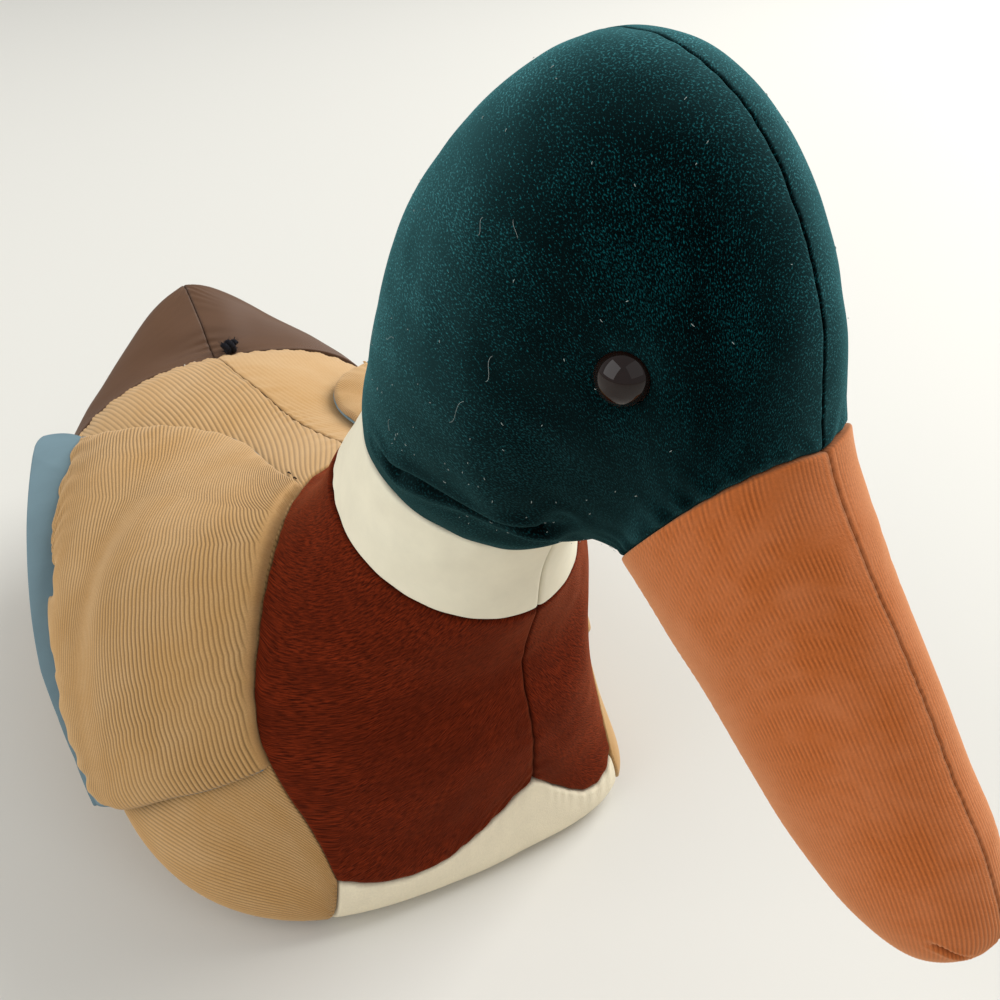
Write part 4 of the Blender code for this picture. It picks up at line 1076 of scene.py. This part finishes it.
def build_collar():
    """Two smooth cotton halves with a little slack in them."""
    for side, sign in SIDES:
        share, angle = np.meshgrid(
            COLLAR_STATION * crowded(44, 0.05), HALF_TURN * crowded(190, 0.02), indexing="ij"
        )
        patch = Patch(collar_surface, share, sign * angle)
        patch.sewn("collar")
        stretched = patch.base * [1, 1, 3]
        patch.rise += 0.35 * MM * noise(stretched, 30 * MM, 12)
        obj = lay_cloth(
            f"collar_cotton_{side}", patch.tucked(2 * MM), "cream_cotton",
            replaces=(f"collar_{side}", *(("neck_stuffing",) if sign > 0 else ())),
        )


def build_chest():
    """Two mohair halves, joined down the front and round the corduroy."""
    for side, sign in SIDES:
        station, angle = chest_grid(120, 190)
        patch = Patch(body_surface, station, sign * angle)
        patch.sewn("chest")
        obj = lay_cloth(
            f"chest_mohair_{side}", patch.tucked(2.5 * MM), "rust_mohair",
            replaces=(f"chest_panel_{side}", *(("body_stuffing",) if sign > 0 else ())),
        )


def build_back():
    """Two corduroy sides, with the cords slanting forwards from the back seam."""
    kept = bpy.context.scene.duck
    step = BACK_CORD_SPREAD * kept.wale_pitch / 4
    shares = np.concatenate(
        [[0, 0.001, 0.003, 0.006, 0.01], np.linspace(0.015, 0.985, 104), [0.992, 0.997, 1]]
    )
    for side, sign in SIDES:
        station, angle = back_grid(shares, 400)
        points = body_surface(station, sign * angle)
        length = arc_lengths(points)[:, -1].max()
        ahead = arc_lengths(points.transpose(1, 0, 2))[0]
        run = 1 - ahead / ahead[-1]
        slant = ahead[-1] * (BACK_SLANT_SHARES[0] * run + BACK_SLANT_SHARES[1] / 2 * run**2)
        distances = np.arange(-slant.max(), length - slant.min() + step, step)
        station, angle = ruled(body_surface, station, sign * angle, distances, slant)
        patch = Patch(body_surface, station, angle)
        patch.cords(distances, kept, 0.85 if sign > 0 else 0.4, 61, BACK_CORD_SPREAD)
        patch.sewn("back")
        obj = lay_cloth(
            f"back_corduroy_{side}", patch.tucked(2 * MM), "tan_corduroy",
            replaces=(f"back_panel_{side}",),
        )


def build_belly():
    """One piece of felt under the body, gathered where it meets the chest."""
    station, angle = belly_grid(110, 70)
    patch = Patch(body_surface, station, angle)
    patch.sewn("belly")
    low = patch.points()[..., 2]
    patch.rise = np.where(low < FLAT_DEPTH, np.minimum(patch.rise, 0), patch.rise)
    obj = lay_cloth("belly_felt", patch.tucked(1.5 * MM), "cream_felt", replaces=("belly_panel",))


def build_tail():
    """Two sides of polished cotton, drawn up along the top seam."""
    for side, sign in SIDES:
        share, angle = np.meshgrid(crowded(80, 0.02), HALF_TURN * crowded(90, 0.02), indexing="ij")
        station = TAIL_STATION + share * (TIP_STATION - TAIL_STATION)
        patch = Patch(body_surface, station, sign * angle)
        patch.sewn("tail")
        obj = lay_cloth(
            f"tail_cotton_{side}", patch.tucked(2 * MM), "brown_cotton", replaces=(f"tail_panel_{side}",)
        )


def follow_wing(obj, side, sign):
    """Bakes the wing's piece into its mesh where it lies; the hinge and the way inwards from it are worked
    out but not used.
    """
    joint = next(j for j in frame["joints"] if j["name"] == f"wing_{side}_lift")
    hinge = Vector(joint["pos_m"])
    station, angle = wing_place(np.array([0.4]), np.array([0.5]))
    inside = Vector(body_surface(station, sign * angle)[0])
    axis = Vector(joint["axis"]).normalized()
    inward = inside - hinge
    inward -= axis * inward.dot(axis)
    inward.normalize()
    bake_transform(obj)


def lining_patch(sign):
    """The lining, under the wing and then flared out past its rear edge."""
    up = np.sin(np.linspace(0, HALF_TURN / 2, 110))
    back, rows = np.meshgrid(np.linspace(0.02, 1, 70), up, indexing="xy")
    station, angle = wing_place(back, rows)
    patch = Patch(body_surface, station, sign * angle, wing_heights(back, rows)[0])
    rearward = patch.base[:, -1] - patch.base[:, -2]
    rearward /= np.linalg.norm(rearward, axis=-1, keepdims=True)
    off = patch.normal[:, -1] - rearward * np.sum(patch.normal[:, -1] * rearward, -1, keepdims=True)
    off /= np.linalg.norm(off, axis=-1, keepdims=True)
    rounding = np.sqrt(1 - (np.clip(up - LINING_CORNER_SHARE, 0, 1) / (1 - LINING_CORNER_SHARE)) ** 2)
    reach = between(LINING_REACH_SHARES, up)[0] * (0.02 + 0.98 * rounding)
    patch.reach_out(rearward, np.full(len(reach), LAYER_GAP), 2)
    ways = rearward * math.cos(LINING_FLARE) + off * math.sin(LINING_FLARE)
    patch.reach_out(ways, LINING_REACH * reach, 24)
    return patch


def build_wings():
    """Corduroy over padding, with the cords running down the wing, and a cotton lining behind."""
    kept = bpy.context.scene.duck
    step = kept.wale_pitch / 4
    up = crowded(120, 0.02)
    for side, sign in SIDES:
        fine = np.linspace(0, 1, 240)
        back, rows = np.meshgrid(fine, up, indexing="xy")
        ripple = 0.012 * np.sin(2 * HALF_TURN * (up * 7 + 0.5 * line_noise(up, 0.13, 91)))
        ripple = ripple + 0.03 * line_noise(up, 0.11, 92)
        back = back * (1 + ripple * smooth(up / 0.2))[:, None]
        station, angle = wing_place(back, rows)
        run = arc_lengths(body_surface(station, sign * angle))
        lean = WING_LEAN * between(WING_LEAN_SHARES, up)[0]
        distances = np.arange(-lean.max(), run[:, -1].max() + step, step)
        share = np.array([
            np.interp(np.clip(distances + lean[i], 0, run[i, -1]), run[i], back[i]) for i in range(len(up))
        ])
        rows = np.broadcast_to(up[:, None], share.shape)
        station, angle = wing_place(share, rows)
        inner = np.clip(share / share[:, -1:], 0, 1)
        lining, puff = wing_heights(inner, rows)
        patch = Patch(body_surface, station, sign * angle, lining + puff + COVER_RISE)
        plain = smooth((patch.distance(3) - 1 * MM) / (6 * MM) + 0.4 * noise(patch.base, 12 * MM, 94))
        sewn = smooth(patch.distance(2) / (4 * MM))
        patch.cords(distances, kept, (0.15 + 0.85 * plain) * sewn, 93)
        patch.sewn("wing")
        # Painted shade along the wing's sewn front edge.
        patch.shade = np.maximum(patch.shade, 0.3 * smooth(1 - patch.distance(2) / (1.5 * MM)))
        patch.rise = np.maximum(patch.rise, -(puff + COVER_RISE) - 3.0 * MM * (inner < 0.06))
        obj = lay_cloth(
            f"wing_corduroy_{side}", patch, "tan_corduroy", body=None,
            replaces=(f"wing_cover_{side}", f"wing_wadding_{side}"),
        )
        follow_wing(obj, side, sign)

        patch = lining_patch(sign)
        patch.rise += 0.3 * MM * noise(patch.base, 25 * MM, 33)
        obj = lay_cloth(
            f"wing_lining_{side}_cloth", patch, "blue_cotton", body=None,
            replaces=(f"wing_lining_{side}",), back=LINING_THICKNESS,
        )
        follow_wing(obj, side, sign)
        at = patch.points()


def eye_place(sign):
    station = np.array([EYE_SHARE[0]])
    angle = np.array([sign * math.radians(EYE_SHARE[1])])
    normal = Vector(outward(head_surface, station, angle)[0])
    turn = normal.to_track_quat("Z", "Y").to_matrix().to_4x4()
    return Matrix.Translation(Vector(head_surface(station, angle)[0])) @ turn


def build_eyes():
    """A domed eye, made once as a cap cut from a sphere with a skirt below it, and copied."""
    kept = bpy.context.scene.duck
    radius = kept.eye_diameter / 2
    bulge = (radius**2 + EYE_RISE**2) / (2 * EYE_RISE)
    bpy.ops.object.select_all(action="DESELECT")
    bpy.ops.mesh.primitive_uv_sphere_add(segments=64, ring_count=64, radius=bulge, location=(0, 0, 0))
    ball = bpy.context.active_object
    bpy.ops.object.mode_set(mode="EDIT")
    bpy.ops.mesh.select_all(action="SELECT")
    bpy.ops.mesh.bisect(
        plane_co=(0, 0, bulge - EYE_RISE), plane_no=(0, 0, 1), clear_inner=True, use_fill=False
    )
    bpy.ops.mesh.select_all(action="DESELECT")
    bpy.ops.mesh.select_mode(type="EDGE")
    bpy.ops.mesh.select_non_manifold(extend=False)
    bpy.ops.mesh.extrude_region_move(TRANSFORM_OT_translate={"value": (0, 0, -EYE_SKIRT)})
    bpy.ops.mesh.edge_face_add()
    bpy.ops.object.mode_set(mode="OBJECT")
    ball.data.transform(Matrix.Translation((0, 0, EYE_RISE - bulge)))
    ball.data.materials.clear()
    ball.data.materials.append(finish_of("eye_plastic"))
    bpy.ops.object.shade_smooth_by_angle(angle=math.radians(40))
    for side, sign in SIDES:
        mesh = ball.data.copy()
        mesh.transform(eye_place(sign) @ Matrix.Translation((0, 0, -EYE_SINK)))
        placed(f"eye_dome_{side}", mesh, "duck", (f"eye_{side}", f"eye_washer_{side}"), "eye_plastic")
    bpy.data.objects.remove(ball)


def twisted(line, diameter, turns):
    """Three plies that twist round a line."""
    along = np.linspace(0, 1, len(line))
    way = np.gradient(line, axis=0)
    way /= np.linalg.norm(way, axis=1, keepdims=True)
    across = np.cross(way, np.array([1.0, 0.0, 0.0]))
    across /= np.linalg.norm(across, axis=1, keepdims=True)
    beside = np.cross(way, across)
    plies = []
    for ply in range(3):
        twist = 2 * HALF_TURN * (along * turns + ply / 3)
        offset = np.cos(twist)[:, None] * across + np.sin(twist)[:, None] * beside
        plies.append(line + PLY_SHARE * diameter * offset)
    return plies


def on_surface(surface, station, degrees):
    """A place, the way out of the cloth and the way along it towards its rear."""
    station, angle = np.array([station]), np.array([math.radians(degrees)])
    place = surface(station, angle)[0]
    rearward = surface(station + 0.05, angle)[0] - place
    return place, outward(surface, station, angle)[0], rearward / np.linalg.norm(rearward)


def place_tubes(name, lines, radius, sides, finish, replaces=(), slot=None):
    mesh = tubes_mesh(name, lines, radius, sides)
    mesh.materials.append(finish_of(finish))
    placed(name, mesh, "duck", replaces, slot)


def build_curl():
    """The yarn on the tail: a short coil with fibres that stand off it."""
    kept = bpy.context.scene.duck
    foot, up, rearward = on_surface(body_surface, *CURL_SHARE)
    beside = np.cross(up, rearward)
    middle = foot + up * (CURL_RADIUS + 0.2 * kept.yarn_diameter)
    along = np.linspace(-0.5, 0.5, 120)
    turn = 2 * HALF_TURN * CURL_TURNS * along
    radius = CURL_RADIUS * (1 - CURL_NARROWING_SHARE * (2 * along) ** 2)
    line = middle + np.outer(radius * np.cos(turn), up) + np.outer(radius * np.sin(turn), rearward)
    line = line + np.outer(CURL_LENGTH * along, beside)
    place_tubes(
        "tail_curl_yarn", twisted(line, kept.yarn_diameter, 9), kept.yarn_diameter * YARN_PLY_SHARE, 8,
        "black_yarn", ("tail_curl",), "black_yarn",
    )
    draw = np.random.default_rng(5)
    fibres = []
    for _ in range(CURL_FIBRES):
        at = line[draw.integers(len(line))]
        way = draw.normal(size=3)
        way[2] = abs(way[2])
        way /= np.linalg.norm(way)
        bend = draw.normal(size=3) * 0.4
        reach = np.linspace(0.8, draw.uniform(1.8, 3.2), 5) * MM
        fibres.append(at + np.outer(reach, way) + np.outer(reach**2 / MM, bend) * 0.1)
    place_tubes("tail_curl_fuzz", fibres, FUZZ_RADIUS, 4, "black_yarn", slot="black_yarn")


def build_stitches():
    """The tacks at the wing's top corner and the pale stitches over the tail seam."""
    for name, finish, lean, length, places in STITCHES:
        lines = []
        for station, degrees, height in places:
            place, up, rearward = on_surface(body_surface, station, degrees)
            way = rearward * math.cos(lean) + np.cross(up, rearward) * math.sin(lean)
            along = np.linspace(-1, 1, 9)
            arch = height + 0.5 * MM * (1 - along**2) - 0.4 * MM
            lines.append(place + np.outer(along * length / 2, way) + np.outer(arch, up))
        place_tubes(name, lines, STITCH_RADIUS, 6, finish)


def build_lint():
    """Specks and a few fine hairs that cling to the velvet."""
    draw = np.random.default_rng(11)
    specks, hairs = [], []
    for k in range(LINT_SPECKS + LINT_HAIRS):
        station = draw.uniform(1.6, 7.2)
        degrees = draw.uniform(20, 172) * (1 if k % 4 else -1)
        place, up, rearward = on_surface(head_surface, station, degrees)
        turn = draw.uniform(0, 2 * HALF_TURN)
        way = rearward * math.cos(turn) + np.cross(up, rearward) * math.sin(turn)
        hair = k >= LINT_SPECKS
        length = draw.uniform(3, 8) * MM if hair else draw.uniform(0.3, 0.7) * MM
        along = np.linspace(-0.5, 0.5, 13 if hair else 3)
        swing = draw.uniform(0.15, 0.45) * length * np.sin(along * draw.uniform(2, 5))
        height = 0.35 * MM + (0.3 * MM if hair else 0.1 * MM) * np.cos(along * HALF_TURN)
        across = np.cross(up, way)
        line = place + np.outer(along * length, way) + np.outer(swing, across) + np.outer(height, up)
        (hairs if hair else specks).append(line)
    place_tubes("velvet_specks", specks, SPECK_RADIUS, 4, "lint")
    place_tubes("velvet_hairs", hairs, HAIR_RADIUS, 4, "lint")


def build_trimmings():
    """The yarn curl on the tail, the hand stitches, and lint on the velvet."""
    build_curl()
    build_stitches()
    build_lint()


def build_stage():
    """A pale table top, three large soft lamps, the room's light and the camera."""
    scene = bpy.context.scene
    bpy.ops.object.select_all(action="DESELECT")
    bpy.ops.mesh.primitive_plane_add(size=FLOOR_SIZE, location=(0, 0, 0))
    floor = bpy.context.active_object
    floor.name = "table_top"
    surface, _, shader = blank_material("white laminate")
    shader.inputs["Base Color"].default_value = (*linear("D5D3CB"), 1)
    shader.inputs["Roughness"].default_value = 0.6
    shader.inputs["Specular IOR Level"].default_value = 0.2
    floor.data.materials.clear()
    floor.data.materials.append(surface)

    world = bpy.data.worlds.new("room")
    scene.world = world
    world.use_nodes = True
    world.node_tree.nodes.clear()
    sky = add_node(world.node_tree, "ShaderNodeBackground", {0: (0.97, 0.98, 1, 1), 1: ROOM_STRENGTH})
    add_node(world.node_tree, "ShaderNodeOutputWorld", {0: sky.outputs[0]})
    for name, place, aim, size, power in LAMPS:
        bpy.ops.object.light_add(type="AREA", location=place)
        lamp = bpy.context.active_object
        lamp.name = name
        lamp.data.size = size
        lamp.data.energy = power
        lamp.rotation_euler = (Vector(aim) - Vector(place)).to_track_quat("-Z", "Y").to_euler()

    bpy.ops.object.camera_add(location=CAMERA_PLACE)
    camera = bpy.context.active_object
    turn, dip = CAMERA_TURN, CAMERA_DIP
    back = Vector((math.sin(turn) * math.cos(dip), -math.cos(turn) * math.cos(dip), math.sin(dip)))
    camera.rotation_euler = (-back).to_track_quat("-Z", "Y").to_euler()
    camera.data.lens = 36
    camera.data.sensor_width = 36
    camera.data.clip_start = 0.01
    scene.camera = camera
    scene.view_settings.view_transform = "Standard"


def colour_setting(name, what, default):
    return bpy.props.FloatVectorProperty(
        name=name, description=f"Colour of the {what}", subtype="COLOR", default=linear(default))


class DuckSettings(bpy.types.PropertyGroup):
    """Sizes and colours that a user would change."""

    wale_pitch: bpy.props.FloatProperty(
        name="Cord spacing", description="From one ridge of the corduroy to the next",
        default=1.7 * MM, min=1 * MM, max=6 * MM, unit="LENGTH")
    wale_height: bpy.props.FloatProperty(
        name="Cord height", description="Of a ridge above the ground between",
        default=0.5 * MM, min=0, max=2 * MM, unit="LENGTH")
    rib_pitch: bpy.props.FloatProperty(
        name="Rib spacing", description="Of the fine ribs along the bill",
        default=1.05 * MM, min=0.5 * MM, max=5 * MM, unit="LENGTH")
    eye_diameter: bpy.props.FloatProperty(
        name="Eye diameter", description="Of the dome that shows",
        default=12 * MM, min=4 * MM, max=20 * MM, unit="LENGTH")
    yarn_diameter: bpy.props.FloatProperty(
        name="Yarn diameter", description="Of the curl on the tail",
        default=3 * MM, min=1 * MM, max=6 * MM, unit="LENGTH")
    velvet_colour: colour_setting("Head", "velvet's tips", "0D575C")
    velour_colour: colour_setting("Bill", "velour", "C06832")
    mohair_colour: colour_setting("Chest", "mohair's tips", "832D10")
    corduroy_colour: colour_setting("Back and wings", "cords", "C49860")
    collar_colour: colour_setting("Collar", "cotton", "ECE5CC")
    felt_colour: colour_setting("Belly", "felt", "F1E5C8")
    tail_colour: colour_setting("Tail", "polished cotton", "60432D")
    lining_colour: colour_setting("Wing lining", "cotton", "6E8790")


class DUCK_OT_head(bpy.types.Operator):
    """Sew the velvet head"""

    bl_idname = "duck.head"
    bl_label = "Head"

    def execute(self, context):
        build_head()
        return {"FINISHED"}


class DUCK_OT_bill(bpy.types.Operator):
    """Sew the velour bill"""

    bl_idname = "duck.bill"
    bl_label = "Bill"

    def execute(self, context):
        build_bill()
        return {"FINISHED"}


class DUCK_OT_collar(bpy.types.Operator):
    """Sew the cotton collar"""

    bl_idname = "duck.collar"
    bl_label = "Collar"

    def execute(self, context):
        build_collar()
        return {"FINISHED"}


class DUCK_OT_body(bpy.types.Operator):
    """Sew the mohair chest, the corduroy back and the felt belly"""

    bl_idname = "duck.body"
    bl_label = "Body"

    def execute(self, context):
        build_chest()
        build_back()
        build_belly()
        return {"FINISHED"}


class DUCK_OT_tail(bpy.types.Operator):
    """Sew the cotton tail"""

    bl_idname = "duck.tail"
    bl_label = "Tail"

    def execute(self, context):
        build_tail()
        return {"FINISHED"}


class DUCK_OT_wings(bpy.types.Operator):
    """Sew the corduroy wings and their linings"""

    bl_idname = "duck.wings"
    bl_label = "Wings"

    def execute(self, context):
        build_wings()
        return {"FINISHED"}


class DUCK_OT_eyes(bpy.types.Operator):
    """Set the domed eyes"""

    bl_idname = "duck.eyes"
    bl_label = "Eyes"

    def execute(self, context):
        build_eyes()
        return {"FINISHED"}


class DUCK_OT_trimmings(bpy.types.Operator):
    """Add the tail's curl, the stitches and the lint"""

    bl_idname = "duck.trimmings"
    bl_label = "Trimmings"

    def execute(self, context):
        build_trimmings()
        return {"FINISHED"}


class DUCK_OT_stage(bpy.types.Operator):
    """Set the table top, the lamps and the camera"""

    bl_idname = "duck.stage"
    bl_label = "Stage"

    def execute(self, context):
        build_stage()
        return {"FINISHED"}


OPERATORS = (
    DUCK_OT_head, DUCK_OT_bill, DUCK_OT_collar, DUCK_OT_body, DUCK_OT_tail, DUCK_OT_wings,
    DUCK_OT_eyes, DUCK_OT_trimmings, DUCK_OT_stage,
)


class DUCK_PT_sewing(bpy.types.Panel):
    """The duck's pieces in the order they are made"""

    bl_idname = "DUCK_PT_sewing"
    bl_label = "Stuffed mallard drake"
    bl_space_type = "VIEW_3D"
    bl_region_type = "UI"
    bl_category = "Duck"

    def draw(self, context):
        for name in DuckSettings.__annotations__:
            self.layout.prop(context.scene.duck, name)
        for operator in OPERATORS:
            self.layout.operator(operator.bl_idname)


CLASSES = (DuckSettings, *OPERATORS, DUCK_PT_sewing)


def register():
    for made in CLASSES:
        bpy.utils.register_class(made)
    bpy.types.Scene.duck = bpy.props.PointerProperty(type=DuckSettings)


def unregister():
    del bpy.types.Scene.duck
    for made in reversed(CLASSES):
        bpy.utils.unregister_class(made)


def main():
    register()
    bpy.ops.duck.head()
    bpy.ops.duck.bill()
    bpy.ops.duck.collar()
    bpy.ops.duck.body()
    bpy.ops.duck.tail()
    bpy.ops.duck.wings()
    bpy.ops.duck.eyes()
    bpy.ops.duck.trimmings()
    bpy.ops.duck.stage()


if __name__ == "__main__":
    main()
